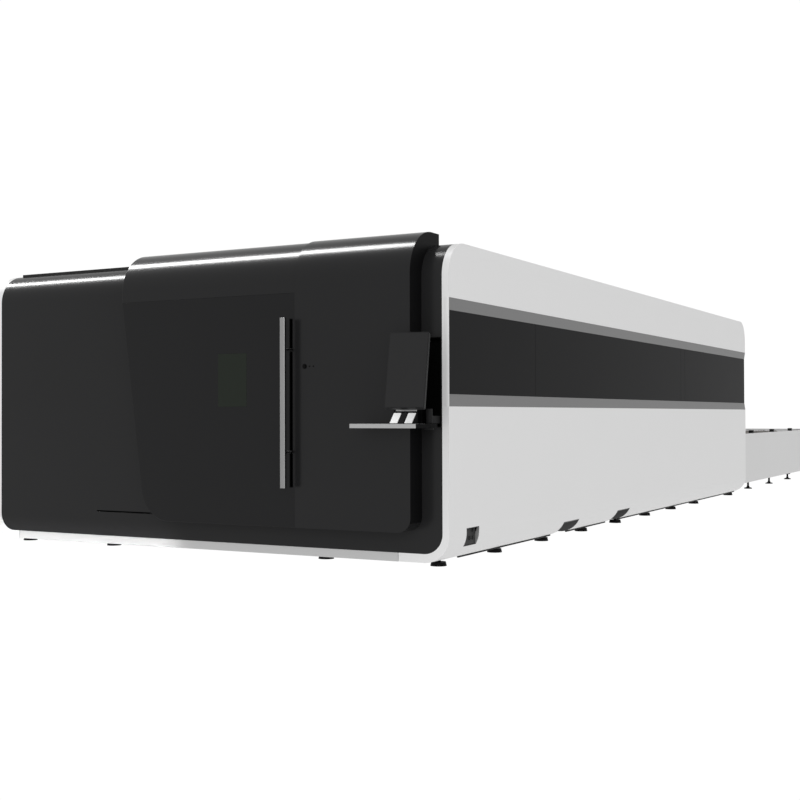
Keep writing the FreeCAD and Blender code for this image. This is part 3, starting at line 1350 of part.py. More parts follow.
def head():
    """Head slide, cutting head and nozzle."""
    plate = box(("-head_slide_half", "head_slide_half"), (HEAD_FACE, HEAD_BACK),
                ("head_slide_low", "head_slide_high"))
    grooves = [box(("%s - head_guide_width / 2 - slide_gap" % middle,
                    "%s + head_guide_width / 2 + slide_gap" % middle),
                   (CARRIAGE_FACE + " - head_guide_depth - slide_gap", CARRIAGE_FACE), ("0", "body_height"))
               for middle in ("-head_guide_x", "head_guide_x")]
    body = block(("-head_half", "head_half"), (HEAD_FACE + " - head_deep", HEAD_FACE),
                 ("head_low", "head_high"),
                 [("z", sides, "16") for sides in ("x- y-", "x+ y-")])
    middle = HEAD_FACE + " - head_deep / 2"
    neck = cone("26", "44", "nozzle_tip + 90", "head_low", y=middle)
    collar = rod("30", "z", "nozzle_tip + 60", y=middle, end="nozzle_tip + 90")
    tip = cone("nozzle_mouth", "18", "nozzle_tip", "nozzle_tip + 60", y=middle)
    finish("cutting_head", fuse([cut(plate, grooves), body, neck]))
    finish("nozzle", fuse([collar, tip]))


gantry_rails()
gantry_beam()
gantry_saddles()
gantry_motors()
beam_rails()
carriage()
head()


# ---------------------------------------------------------------- console

def console_bracket():
    """Arm from the niche to the swivel post, with the pin that the tray turns on."""
    at = {"x": "console_x", "y": "console_y"}
    arm = box(("console_x - arm_width / 2", "console_x + arm_width / 2"),
              ("console_y", "niche_depth - niche_wall"), ("tray_top + 1", "tray_top + 1 + arm_height"))
    post = rod("console_post", "z", "tray_top + slide_gap", end="console_post_top", **at)
    pin = rod("console_pin", "z", "tray_low - console_flange", end="tray_top + 2", **at)
    flange = rod("console_post + 8", "z", "tray_low - console_flange", end="tray_low - slide_gap", **at)
    finish("console_bracket", fuse([arm, post, pin, flange]))


def console_tray():
    """Pale tray below the screen."""
    finish("console_tray", block(("tray_left", "tray_right"), ("tray_front", "tray_back"),
                                 ("tray_low", "tray_top"), [("z", "x- y-", "tray_corner")]))


def tray_carrier():
    """Tab that turns on the pin, plate on the tray's end and sloping desk for the keys."""
    tab = box(("console_x - tray_tab", "console_x + tray_tab"), ("tray_back", "console_y + tray_tab"),
              ("tray_low", "tray_top"))
    hole = rod("console_pin + slide_gap", "z", "0", x="console_x", y="console_y", end="body_height")
    cheek = box(("tray_right", "tray_right + cheek_plate"), ("tray_front", "tray_back"), ("tray_low", "tray_top"))
    lip = "desk_back - desk_lip"
    corners = [("desk_front", "tray_top"), ("desk_back", "tray_top"), ("desk_back", "desk_lip_high"),
               (lip, "desk_lip_high"), (lip, "desk_top"), ("desk_back - desk_ridge", "desk_top")]
    desk = prism("x", corners, "desk_left", "desk_right")
    finish("tray_carrier", group([cut(tab, [hole]), cheek, desk]))


def key_fields():
    """Two pale key fields on the slope of the desk."""
    run, rise = "(desk_back - desk_ridge - desk_front)", "(desk_top - tray_top)"
    slope = "atan(%s / %s)" % (rise, run)
    fields = []
    for number in range(2):
        plate = box(("0", "key_width"), ("0", "key_length"), ("0", "key_plate"))
        fields.append(turned(plate, "x", slope, "key_first + %d * key_pitch" % number,
                             "desk_front + key_inset * cos(%s)" % slope,
                             "tray_top + key_inset * sin(%s)" % slope))
    finish("key_fields", group(fields))


def screen_column():
    """Upright behind the key desk, with the barrel and pin of the tilt joint."""
    post = box(("-column_width / 2", "column_width / 2"), ("-column_depth / 2", "column_depth / 2"),
               ("tray_top", "screen_z - barrel_radius + 2"))
    barrel = rod("barrel_radius", "x", "-barrel_half", z="screen_z", end="barrel_half")
    reach = "(barrel_half + ear_plate + 2)"
    pin = rod("barrel_pin", "x", "-" + reach, z="screen_z", end=reach)
    finish("screen_column", group([turned(fuse([post, barrel, pin]), "z", "screen_yaw",
                                          "screen_x", "screen_y", "0")]))


def leaned(thing):
    """Part of the screen, leaned back about the tilt axis and turned to the right."""
    tilted = turned(thing, "x", "-screen_tilt")
    return group([turned(tilted, "z", "screen_yaw", "screen_x", "screen_y", "screen_z")])


def screen():
    """Upright screen: housing on two ears, with a glass front."""
    back, front = "-screen_stand", "-screen_stand - screen_thick"
    low, high = "screen_rise - screen_height / 2", "screen_rise + screen_height / 2"
    housing = block(("-screen_width / 2", "screen_width / 2"), (front, back), (low, high),
                    [("y", sides, "screen_corner") for sides in ("x- z-", "x- z+", "x+ z-", "x+ z+")])
    inside = (("-screen_width / 2 + screen_border", "screen_width / 2 - screen_border"),
              (low + " + screen_border", high + " - screen_border"))
    recess = box(inside[0], (front + " - 10", front + " + glass_plate"), inside[1])
    start = "(barrel_half + 1)"
    ears = [box(mirrored((start, start + " + ear_plate"), side), (back + " - 1", "ear_half - 2"),
                ("-ear_half", "ear_half")) for side in (1, -1)]
    bore = rod("barrel_pin + slide_gap", "x", "-screen_width / 2", end="screen_width / 2")
    shell = cut(fuse([housing] + ears), [recess, bore])
    glass = box(inside[0], (front, front + " + glass_plate"), inside[1])
    finish("screen_housing", leaned(shell))
    finish("screen_glass", leaned(glass))


console_bracket()
console_tray()
tray_carrier()
key_fields()
screen_column()
screen()


# ---------------------------------------------------------------- exchange table

def leg_rows():
    """Places of the legs along the table."""
    rows = ["leg_first_y + %d * leg_pitch" % number for number in range(int(size("leg_count")))]
    return ["leg_front_y"] + rows


def table_frame():
    """Long beams, legs beside them and the tubes that join them."""
    pieces = []
    leg_outer = "table_outer - table_panel"
    for side in (1, -1):
        pieces.append(box(mirrored(("table_beam_inner", "table_beam_inner + table_beam_width"), side),
                          ("table_front", "table_beam_end"), ("table_beam_low", "table_beam_high")))
        for row in leg_rows():
            span = (row + " - leg_length / 2", row + " + leg_length / 2")
            pieces.append(box(mirrored((leg_outer + " - leg_width", leg_outer), side), span,
                              ("table_low + 10", "table_high - 5")))
            pieces.append(box(mirrored(("table_beam_inner + table_beam_width - 1", leg_outer), side), span,
                              ("table_beam_low", "table_beam_low + leg_rail")))
    for row in leg_rows():
        pieces.append(box(("-table_beam_inner - 1", "table_beam_inner + 1"),
                          (row + " - leg_length / 2", row + " + leg_length / 2"),
                          ("table_beam_low", "table_beam_low + leg_rail")))
    finish("table_frame", fuse(pieces))


def table_panels():
    """Side panels in two lengths, and the panel across the end."""
    panels = []
    for side in (1, -1):
        across = mirrored(("table_outer - table_panel", "table_outer"), side)
        for front, rear in (("table_front", "table_seam - seam / 2"), ("table_seam + seam / 2", "table_rear")):
            panels.append(box(across, (front, rear), ("table_low", "table_high")))
    panels.append(box(("-table_outer", "table_outer"), ("table_rear", "table_rear + table_panel"),
                      ("table_low", "table_high")))
    finish("table_panels", group(panels))


def table_feet():
    """Levelling feet of the table: disc, bell and screw."""
    solids = []
    for across in ("leg_foot_x", "-leg_foot_x"):
        for row in leg_rows():
            disc = cone("foot_radius - 2", "foot_radius - 12", "0", "22", x=across, y=row)
            bell = cone("34", "20", "21", "44", x=across, y=row)
            stem = rod("stem_radius", "z", "40", x=across, y=row, end="table_low + 10")
            solids.append(fuse([disc, bell, stem]))
    finish("table_feet", group(solids))


def edge_blocks():
    """Black blocks on the upper edge of the side panels."""
    blocks = []
    for side in (1, -1):
        limits = mirrored(("table_outer - cap_width", "table_outer"), side)
        for row in leg_rows()[1:-1]:
            middle = row + " + cap_setback"
            blocks.append(block(limits, (middle + " - cap_length / 2", middle + " + cap_length / 2"),
                                ("table_high", "table_high + cap_height"),
                                [("x", "y- z+", "8"), ("x", "y+ z+", "8")]))
    finish("edge_blocks", group(blocks))


def exchange_motor():
    """Gear motor that hangs under the table and turns the rear shaft."""
    can = rod("motor_radius", "y", "motor_y", x="motor_x", z="motor_z", length="motor_length")
    gear = box(("motor_x - 80", "motor_x + 80"), ("motor_y + motor_length - 1",
               "motor_y + motor_length + gear_length"), ("motor_z - motor_radius", "motor_z + motor_radius"))
    foot = box(("table_beam_inner", "motor_x + 60"), ("motor_y + 60", "motor_y + motor_length - 60"),
               ("motor_z + motor_radius - 6", "table_beam_low"))
    finish("exchange_motor", fuse([can, gear, foot]))


table_frame()
table_panels()
table_feet()
edge_blocks()
exchange_motor()


# ---------------------------------------------------------------- check and write

doc.recompute()
faults = [thing.Name for thing in doc.Objects if {"Invalid", "Error"} & set(thing.State)]
faults += [label for label, thing in PARTS if thing.Shape.isNull() or not thing.Shape.isValid()]
if faults:
    raise SystemExit("not built: " + ", ".join(faults))
os.makedirs("parts", exist_ok=True)
for label, thing in PARTS:
    thing.Shape.exportStep("parts/%s.step" % label)
print(len(PARTS), "pieces")
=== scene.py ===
import json
import math

import bmesh
import bpy
from mathutils import Matrix, Vector


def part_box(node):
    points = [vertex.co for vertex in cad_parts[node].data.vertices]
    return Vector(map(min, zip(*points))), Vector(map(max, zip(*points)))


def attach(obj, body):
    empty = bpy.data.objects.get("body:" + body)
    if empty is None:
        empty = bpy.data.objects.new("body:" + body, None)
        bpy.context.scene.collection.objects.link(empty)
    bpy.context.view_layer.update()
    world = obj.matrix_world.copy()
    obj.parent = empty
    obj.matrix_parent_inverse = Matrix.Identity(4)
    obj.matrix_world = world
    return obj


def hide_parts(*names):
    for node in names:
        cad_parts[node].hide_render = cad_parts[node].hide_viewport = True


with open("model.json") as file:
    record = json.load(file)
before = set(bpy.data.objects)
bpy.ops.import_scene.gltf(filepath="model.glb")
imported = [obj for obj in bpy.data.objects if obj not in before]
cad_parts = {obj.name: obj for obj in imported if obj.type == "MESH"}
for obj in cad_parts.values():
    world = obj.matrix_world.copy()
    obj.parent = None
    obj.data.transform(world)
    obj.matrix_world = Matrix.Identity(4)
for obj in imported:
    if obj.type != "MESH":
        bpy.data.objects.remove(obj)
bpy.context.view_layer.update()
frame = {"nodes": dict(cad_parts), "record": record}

# Lengths are in metres. Places are given from the front panel and the middle of the cabin, as the
# CAD part is drawn; FRONT is where the front panel stands in the shared frame.
FRONT = -7.4874
SIDES = (1, -1)                 # right and left, seen from the front
RIGHTWARD, FORWARD = (1, 0, 0), (0, -1, 0)


# ---------------------------------------------------------------- node groups

# A scale says how many grains a texture has to the metre, and a span is the part of the texture's
# range that shows. The other values say what is added to the roughness, or what the colour or the
# amount is multiplied by.
NONE_TO_ALL = (0.0, 1.0)

# Powder coat
CLOUD_SCALE, CLOUD_SPAN = 1.3, (0.25, 0.75)
CLOUD_SHADE, CLOUD_ROUGHNESS = (-1.0, 1.0), (-0.012, 0.012)
DUST_SCALE, DUST_SPAN, DUST_AMOUNT = 26.0, (0.35, 0.7), (0.3, 1.0)
DUST_SLOPE = (0.55, 1.0)        # how far up a face looks where dust begins to lie, and where it lies fully
DUST_COLOUR, DUST_ROUGHNESS = (0.5, 0.48, 0.45, 1), 0.5
SKIN_SCALE = 900.0

# Brushed metal; its scratches are given by their grains to the metre along X, Y and Z
LENGTHWISE_SCRATCHES, UPRIGHT_SCRATCHES = (900.0, 6.0, 900.0), (900.0, 900.0, 6.0)
SCRATCH_SPAN = (0.3, 0.7)
SCRATCH_SHADE, SCRATCH_ROUGHNESS = (0.88, 1.1), (-0.06, 0.08)
STAIN_SCALE, STAIN_SPAN = 9.0, (0.45, 0.8)
STAIN_SHADE, STAIN_ROUGHNESS = -0.6, 0.4

# Scorched steel
SOOT_SCALE, SOOT_SPAN = 5.0, (0.35, 0.7)
SOOT_COLOUR, SOOT_ROUGHNESS = (0.028, 0.027, 0.027, 1), 0.2
RUST_SCALE, RUST_SPAN = 60.0, (0.5, 0.75)
RUST_COLOUR = (0.20, 0.105, 0.055, 1)
STEEL_SPAN, STEEL_ROUGHNESS = (0.3, 0.7), (0.42, 0.66)
BEAD_SCALE, BEAD_SPAN, BEAD_HEIGHT = 140.0, (0.0, 0.35), 0.6

# Moulded skin
RUB_SCALE, RUB_SPAN, RUB_AMOUNT = 14.0, (0.4, 0.7), (-0.5, 1.0)
RUB_ROUGHNESS = -0.6

# Places of a Mix node's amount, its two values and its result, by the kind of value
MIX_SOCKETS = {"FLOAT": (0, 2, 3, 0), "RGBA": (0, 6, 7, 2)}


def new_group(name, numbers):
    """An empty shader group: a colour and named numbers come in, a surface goes out."""
    group = bpy.data.node_groups.new(name, "ShaderNodeTree")
    sockets = [("INPUT", "Color", "NodeSocketColor")]
    sockets += [("INPUT", label, "NodeSocketFloat") for label in numbers]
    sockets += [("OUTPUT", "Color", "NodeSocketColor"), ("OUTPUT", "Roughness", "NodeSocketFloat"),
                ("OUTPUT", "Height", "NodeSocketFloat")]
    for way, label, kind in sockets:
        group.interface.new_socket(label, in_out=way, socket_type=kind)
    return group, group.nodes.new("NodeGroupInput"), group.nodes.new("NodeGroupOutput")


def feed(group, value, socket):
    """Link a value to a socket, or set the socket where the value is a plain number or colour."""
    if hasattr(value, "is_output"):
        group.links.new(value, socket)
    else:
        socket.default_value = value


def object_place(group):
    """The Object coordinates."""
    return group.nodes.new("ShaderNodeTexCoord").outputs["Object"]


def noise(group, scale, detail, stretch=None, roughness=0.5):
    """A noise texture on Object coordinates, stretched if asked."""
    place = object_place(group)
    if stretch:
        mapping = group.nodes.new("ShaderNodeMapping")
        mapping.inputs["Scale"].default_value = stretch
        group.links.new(place, mapping.inputs["Vector"])
        place = mapping.outputs["Vector"]
    texture = group.nodes.new("ShaderNodeTexNoise")
    texture.inputs["Scale"].default_value = scale
    texture.inputs["Detail"].default_value = detail
    texture.inputs["Roughness"].default_value = roughness
    group.links.new(place, texture.inputs["Vector"])
    return texture.outputs["Fac"]


def remap(group, value, span, target):
    """A value moved from one range to another."""
    node = group.nodes.new("ShaderNodeMapRange")
    for label, number in zip(("From Min", "From Max", "To Min", "To Max"), (*span, *target)):
        node.inputs[label].default_value = number
    group.links.new(value, node.inputs["Value"])
    return node.outputs["Result"]


def worked_out(group, operation, first, second):
    """What a Math node makes of two values, either of which may be a number."""
    node = group.nodes.new("ShaderNodeMath")
    node.operation = operation
    feed(group, first, node.inputs[0])
    feed(group, second, node.inputs[1])
    return node.outputs[0]


def times(group, first, second):
    """The product of two values."""
    return worked_out(group, "MULTIPLY", first, second)


def plus(group, first, second):
    """The sum of two values."""
    return worked_out(group, "ADD", first, second)


def blend(group, kind, amount, first, second):
    """Two colours or two numbers mixed by a value."""
    node = group.nodes.new("ShaderNodeMix")
    node.data_type = kind
    *places, result = MIX_SOCKETS[kind]
    for index, value in zip(places, (amount, first, second)):
        feed(group, value, node.inputs[index])
    return node.outputs[result]


def shaded(group, colour, factor):
    """A colour multiplied by a value."""
    node = group.nodes.new("ShaderNodeVectorMath")
    node.operation = "SCALE"
    group.links.new(colour, node.inputs[0])
    group.links.new(factor, node.inputs["Scale"])
    return node.outputs[0]


def powder_coat_group():
    """Sprayed and baked paint: faint clouding, a fine skin and a little settled dust."""
    group, start, end = new_group("Powder coat", ("Clouding", "Roughness", "Dust"))
    cloud = noise(group, CLOUD_SCALE, detail=3.0)
    clouding = times(group, remap(group, cloud, CLOUD_SPAN, CLOUD_SHADE), start.outputs["Clouding"])
    colour = shaded(group, start.outputs["Color"], plus(group, clouding, 1.0))
    split = group.nodes.new("ShaderNodeSeparateXYZ")
    group.links.new(group.nodes.new("ShaderNodeNewGeometry").outputs["Normal"], split.inputs[0])
    upward = remap(group, split.outputs["Z"], DUST_SLOPE, NONE_TO_ALL)
    flecks = remap(group, noise(group, DUST_SCALE, detail=4.0), DUST_SPAN, DUST_AMOUNT)
    dust = times(group, times(group, upward, flecks), start.outputs["Dust"])
    colour = blend(group, "RGBA", dust, colour, DUST_COLOUR)
    rough = plus(group, start.outputs["Roughness"], remap(group, cloud, CLOUD_SPAN, CLOUD_ROUGHNESS))
    rough = plus(group, rough, times(group, dust, DUST_ROUGHNESS))
    group.links.new(colour, end.inputs["Color"])
    group.links.new(rough, end.inputs["Roughness"])
    group.links.new(noise(group, SKIN_SCALE, detail=1.0), end.inputs["Height"])
    return group


def brushed_group():
    """Drawn or ground metal: long fine scratches with a little tarnish."""
    group, start, end = new_group("Brushed metal", ("Tarnish", "Roughness", "Lengthwise"))
    lengthwise = noise(group, 1.0, detail=3.0, stretch=LENGTHWISE_SCRATCHES, roughness=0.7)
    upright = noise(group, 1.0, detail=3.0, stretch=UPRIGHT_SCRATCHES, roughness=0.7)
    scratches = blend(group, "FLOAT", start.outputs["Lengthwise"], upright, lengthwise)
    patches = remap(group, noise(group, STAIN_SCALE, detail=4.0), STAIN_SPAN, NONE_TO_ALL)
    stain = times(group, patches, start.outputs["Tarnish"])
    colour = shaded(group, start.outputs["Color"], remap(group, scratches, SCRATCH_SPAN, SCRATCH_SHADE))
    colour = shaded(group, colour, plus(group, times(group, stain, STAIN_SHADE), 1.0))
    rough = remap(group, scratches, SCRATCH_SPAN, SCRATCH_ROUGHNESS)
    rough = plus(group, start.outputs["Roughness"], rough)
    rough = plus(group, rough, times(group, stain, STAIN_ROUGHNESS))
    group.links.new(colour, end.inputs["Color"])
    group.links.new(rough, end.inputs["Roughness"])
    group.links.new(scratches, end.inputs["Height"])
    return group


def scorch_group():
    """Cutting grate steel: rust, soot and beads of slag."""
    group, start, end = new_group("Scorched steel", ("Soot", "Rust"))
    fine = noise(group, RUST_SCALE, detail=4.0, roughness=0.65)
    rust = times(group, remap(group, fine, RUST_SPAN, NONE_TO_ALL), start.outputs["Rust"])
    patches = remap(group, noise(group, SOOT_SCALE, detail=5.0), SOOT_SPAN, NONE_TO_ALL)
    soot = times(group, patches, start.outputs["Soot"])
    colour = blend(group, "RGBA", rust, start.outputs["Color"], RUST_COLOUR)
    colour = blend(group, "RGBA", soot, colour, SOOT_COLOUR)
    rough = remap(group, fine, STEEL_SPAN, STEEL_ROUGHNESS)
    rough = plus(group, rough, times(group, soot, SOOT_ROUGHNESS))
    beads = group.nodes.new("ShaderNodeTexVoronoi")
    beads.inputs["Scale"].default_value = BEAD_SCALE
    group.links.new(object_place(group), beads.inputs["Vector"])
    bead = remap(group, beads.outputs["Distance"], BEAD_SPAN, (1.0, 0.0))
    group.links.new(colour, end.inputs["Color"])
    group.links.new(rough, end.inputs["Roughness"])
    group.links.new(plus(group, times(group, bead, BEAD_HEIGHT), fine), end.inputs["Height"])
    return group


def moulded_group():
    """Moulded plastic, rubber and glassy parts: a slight skin and rubbed patches."""
    group, start, end = new_group("Moulded skin", ("Rubbing", "Roughness", "Grain Scale"))
    patches = remap(group, noise(group, RUB_SCALE, detail=3.0), RUB_SPAN, RUB_AMOUNT)
    rub = times(group, patches, start.outputs["Rubbing"])
    colour = shaded(group, start.outputs["Color"], plus(group, rub, 1.0))
    rough = plus(group, start.outputs["Roughness"], times(group, rub, RUB_ROUGHNESS))
    grain = group.nodes.new("ShaderNodeTexNoise")
    grain.inputs["Detail"].default_value = 1.0
    group.links.new(start.outputs["Grain Scale"], grain.inputs["Scale"])
    group.links.new(object_place(group), grain.inputs["Vector"])
    group.links.new(colour, end.inputs["Color"])
    group.links.new(rough, end.inputs["Roughness"])
    group.links.new(grain.outputs["Fac"], end.inputs["Height"])
    return group


POWDER, BRUSHED, SCORCH, MOULDED = powder_coat_group(), brushed_group(), scorch_group(), moulded_group()


# ---------------------------------------------------------------- materials

# How strongly each finish's fine texture shows, and how high its relief stands
PAINT_SKIN, SMOOTH_SKIN, PAINT_RELIEF = 0.04, 0.004, 0.0001
SCRATCH_BUMP, SCRATCH_RELIEF = 0.12, 0.0003
SLAG_BUMP, SLAG_RELIEF = 0.4, 0.0012
MOULDED_BUMP, MOULDED_RELIEF = 0.1, 0.0003
MOULDED_GRAIN = 600.0           # grains to the metre


def finish(name, group, colour, values, strength, relief, metallic=0.0, gloss=0.5, see_through=0.0):
    """A material whose colour, roughness and relief come from one of the shared groups."""
    material = bpy.data.materials.new(name)
    material.use_nodes = True
    nodes, links = material.node_tree.nodes, material.node_tree.links
    shader = nodes["Principled BSDF"]
    surface = nodes.new("ShaderNodeGroup")
    surface.node_tree = group
    surface.inputs["Color"].default_value = (*colour, 1)
    for label, value in values.items():
        surface.inputs[label].default_value = value
    links.new(surface.outputs["Color"], shader.inputs["Base Color"])
    links.new(surface.outputs["Roughness"], shader.inputs["Roughness"])
    bump = nodes.new("ShaderNodeBump")
    bump.inputs["Strength"].default_value = strength
    bump.inputs["Distance"].default_value = relief
    links.new(surface.outputs["Height"], bump.inputs["Height"])
    links.new(bump.outputs["Normal"], shader.inputs["Normal"])
    shader.inputs["Metallic"].default_value = metallic
    shader.inputs["Specular IOR Level"].default_value = gloss
    shader.inputs["Transmission Weight"].default_value = see_through
    return material


def paint(name, colour, rough, clouding, dust, gloss=0.5, skin=PAINT_SKIN):
    """Powder-coated sheet metal."""
    return finish(name, POWDER, colour, {"Clouding": clouding, "Roughness": rough, "Dust": dust},
                  skin, PAINT_RELIEF, gloss=gloss)


def metal(name, colour, rough, tarnish, lengthwise=1.0):
    """Bare metal, drawn or ground lengthwise (1) or upright (0)."""
    return finish(name, BRUSHED, colour,
                  {"Tarnish": tarnish, "Roughness": rough, "Lengthwise": lengthwise},
                  SCRATCH_BUMP, SCRATCH_RELIEF, metallic=1.0)


def moulded(name, colour, rough, rubbing, grain=MOULDED_GRAIN, gloss=0.5, bump=MOULDED_BUMP,
            see_through=0.0):
    """Plastic, rubber or glass."""
    return finish(name, MOULDED, colour, {"Rubbing": rubbing, "Roughness": rough, "Grain Scale": grain},
                  bump, MOULDED_RELIEF, gloss=gloss, see_through=see_through)


def grey(level):
    """A neutral colour."""
    return (level, level, level)


# Cabin
SHELL_WHITE = paint("shell_white", grey(0.80), 0.45, clouding=0.006, dust=0.01, gloss=0.3)
STRIP_GREY = paint("strip_grey", grey(0.188), 0.45, clouding=0.01, dust=0.01, gloss=0.3)
BAND_BLACK = paint("band_black", (0.0215, 0.0215, 0.0220), 0.32, clouding=0.03, dust=0.0, gloss=0.008)
FRONT_BLACK = paint("front_black", (0.0128, 0.0128, 0.0133), 0.19, clouding=0.02, dust=0.0, gloss=0.20,
                    skin=SMOOTH_SKIN)
PANEL_BLACK = paint("front_panel_black", (0.0175, 0.0175, 0.0180), 0.21, clouding=0.02, dust=0.0,
                    gloss=0.15, skin=SMOOTH_SKIN)
FACE_BLACK = paint("door_face_black", (0.0100, 0.0100, 0.0105), 0.22, clouding=0.02, dust=0.0,
                   gloss=0.17, skin=SMOOTH_SKIN)
# Painted shade: this darker black goes on the right-facing faces of the front cover and the door handle,
# as their shaded side.
SHADED_SIDE_BLACK = paint("painted_shade_side_black", (0.0050, 0.0050, 0.0053), 0.40, clouding=0.03, dust=0.0, gloss=0.05)
ROOF_BLACK = paint("roof_black", (0.0140, 0.0140, 0.0145), 0.36, clouding=0.06, dust=0.03, gloss=0.22)
SKIRT_GREY = paint("skirt_grey", grey(0.53), 0.42, clouding=0.01, dust=0.0, gloss=0.3)
PORT_GREY = paint("port_grey", (0.050, 0.050, 0.051), 0.5, clouding=0.04, dust=0.0, gloss=0.1)
# Painted light: this lighter grey goes on the forward-facing faces of the port tray, as their lit side.
PORT_LIT_SIDE = paint("port_painted_lit_side", grey(0.28), 0.45, clouding=0.02, dust=0.0, gloss=0.2)
BLACK_STEEL = paint("black_steel", (0.0050, 0.0050, 0.0052), 0.40, clouding=0.10, dust=0.0, gloss=0.06)
DEEP_BLACK = paint("deep_black", grey(0.0025), 0.5, clouding=0.1, dust=0.0, gloss=0.05)
HANDLE_METAL = metal("handle_metal", grey(0.33), 0.42, tarnish=0.05, lengthwise=0.0)
RUBBER = moulded("black_rubber", grey(0.010), 0.6, rubbing=0.3, grain=420.0, gloss=0.2, bump=0.2)
PANE = moulded("tinted_pane", (0.0135, 0.0180, 0.0125), 0.10, rubbing=0.03, grain=30.0, gloss=0.12,
               bump=0.01, see_through=0.15)

# Console
CONSOLE_BLACK = paint("console_black", (0.0200, 0.0200, 0.0205), 0.38, clouding=0.03, dust=0.0, gloss=0.04)
TRAY_BLACK = paint("tray_black", (0.0060, 0.0060, 0.0062), 0.45, clouding=0.04, dust=0.0, gloss=0.01)
TRAY_PAINT = paint("tray_grey", grey(0.41), 0.42, clouding=0.01, dust=0.0, gloss=0.2)
KEY_WHITE = moulded("key_white", grey(0.90), 0.45, rubbing=0.02)
LIP_GREY = moulded("lip_grey", grey(0.42), 0.5, rubbing=0.05)
BUTTON_BLACK = moulded("button_black", grey(0.004), 0.25, rubbing=0.1, gloss=0.05)
SCREEN_FACE = moulded("screen_face", (0.0165, 0.0165, 0.0170), 0.18, rubbing=0.03, grain=40.0, gloss=0.22,
                      bump=0.01)

# Inside and table
TABLE_WHITE = paint("table_white", grey(0.70), 0.48, clouding=0.01, dust=0.02, gloss=0.3)
SLATE = paint("slate", (0.085, 0.085, 0.086), 0.5, clouding=0.06, dust=0.03, gloss=0.25)
FRAME_GREY = paint("frame_grey", (0.20, 0.205, 0.21), 0.5, clouding=0.05, dust=0.10)
TABLE_GREY = paint("table_grey", (0.10, 0.102, 0.105), 0.5, clouding=0.05, dust=0.10)
GANTRY_PAINT = paint("gantry_paint", grey(0.55), 0.4, clouding=0.02, dust=0.04)
MOTOR_PAINT = paint("motor_paint", (0.035, 0.036, 0.038), 0.42, clouding=0.05, dust=0.05)
ZINC = metal("zinc_sheet", (0.50, 0.51, 0.52), 0.45, tarnish=0.6)
RAIL_STEEL = metal("rail_steel", (0.62, 0.62, 0.63), 0.22, tarnish=0.1)
DARK_RAIL = metal("dark_rail_steel", grey(0.035), 0.35, tarnish=0.3)
TRACK_STEEL = metal("track_steel", (0.42, 0.41, 0.40), 0.38, tarnish=0.5)
CHAIN_STEEL = metal("chain_steel", (0.20, 0.19, 0.18), 0.42, tarnish=0.7)
COPPER = metal("copper", (0.80, 0.42, 0.27), 0.28, tarnish=0.3, lengthwise=0.0)
GRATE = finish("grate_steel", SCORCH, (0.30, 0.29, 0.28), {"Soot": 0.55, "Rust": 0.45},
               SLAG_BUMP, SLAG_RELIEF, metallic=0.7)


# ---------------------------------------------------------------- helpers for pieces

MERGE_DISTANCE = 0.00001
SPUN_MERGE_DISTANCE = 0.000001
FLAT_ANGLE = 0.3                # degrees; faces that meet at less lie in one plane
CAD_EDGE_ANGLE = 38.0           # degrees; sharper edges of a CAD piece are broken
SHARP_ANGLE = 40.0              # degrees; sharper edges of a new piece stay sharp
FACING = 0.9                    # cosine of the angle within which a face looks to a side
BOX_SEGMENTS = 2

# Turns that lay the Z axis, about which a round piece is spun, along another axis
AXIS_TURNS = {"z": Matrix.Identity(3), "x": Matrix.Rotation(math.radians(90), 3, "Y")}


def place(x, y, z):
    """A point given from the front panel, in the shared frame."""
    return Vector((x, y + FRONT, z))


def body_with(node):
    """The name of the body that a CAD node belongs to."""
    bodies = frame["record"]["behaviour"]["bodies"]
    return next(name for name, nodes in bodies.items() if node in nodes)


def dress(node, material):
    """Give a CAD piece a material."""
    piece = frame["nodes"][node]
    piece.data.materials.clear()
    piece.data.materials.append(material)


def piece_from(shape, name, material, body, sharp=SHARP_ANGLE):
    """A finished piece from a bmesh: smooth on its curves, sharp at its corners."""
    for face in shape.faces:
        face.smooth = True
    for edge in shape.edges:
        if len(edge.link_faces) == 2:
            edge.smooth = edge.calc_face_angle(0.0) < math.radians(sharp)
    mesh = bpy.data.meshes.new(name)
    shape.to_mesh(mesh)
    shape.free()
    mesh.materials.append(material)
    piece = bpy.data.objects.new(name, mesh)
    bpy.context.scene.collection.objects.link(piece)
    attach(piece, body)
    return piece


def softened(node, material, width, segments, side_light_and_shade_material=None, end_side=RIGHTWARD):
    """A copy of a CAD piece with its edges broken and its curves smooth, in the piece's place.

    Where a side material is given, the faces that look to the end side get it, as painted shade (front
    cover, door handle) and painted light (port tray) on that side.
    """
    shape = bmesh.new()
    shape.from_mesh(frame["nodes"][node].data)
    bmesh.ops.remove_doubles(shape, verts=shape.verts, dist=MERGE_DISTANCE)
    bmesh.ops.dissolve_limit(shape, angle_limit=math.radians(FLAT_ANGLE), use_dissolve_boundaries=False,
                             verts=shape.verts, edges=shape.edges, delimit=set())
    if side_light_and_shade_material:
        for face in shape.faces:
            face.material_index = 1 if face.normal.dot(Vector(end_side)) > FACING else 0
    piece = piece_from(shape, node + "_soft", material, body_with(node), sharp=CAD_EDGE_ANGLE)
    if side_light_and_shade_material:
        piece.data.materials.append(side_light_and_shade_material)
    bevel = piece.modifiers.new("Broken edges", "BEVEL")
    bevel.width = width
    bevel.segments = segments
    bevel.limit_method = "ANGLE"
    bevel.angle_limit = math.radians(CAD_EDGE_ANGLE)
    bevel.use_clamp_overlap = True
    even = piece.modifiers.new("Even shading", "WEIGHTED_NORMAL")
    even.keep_sharp = True
    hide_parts(node)


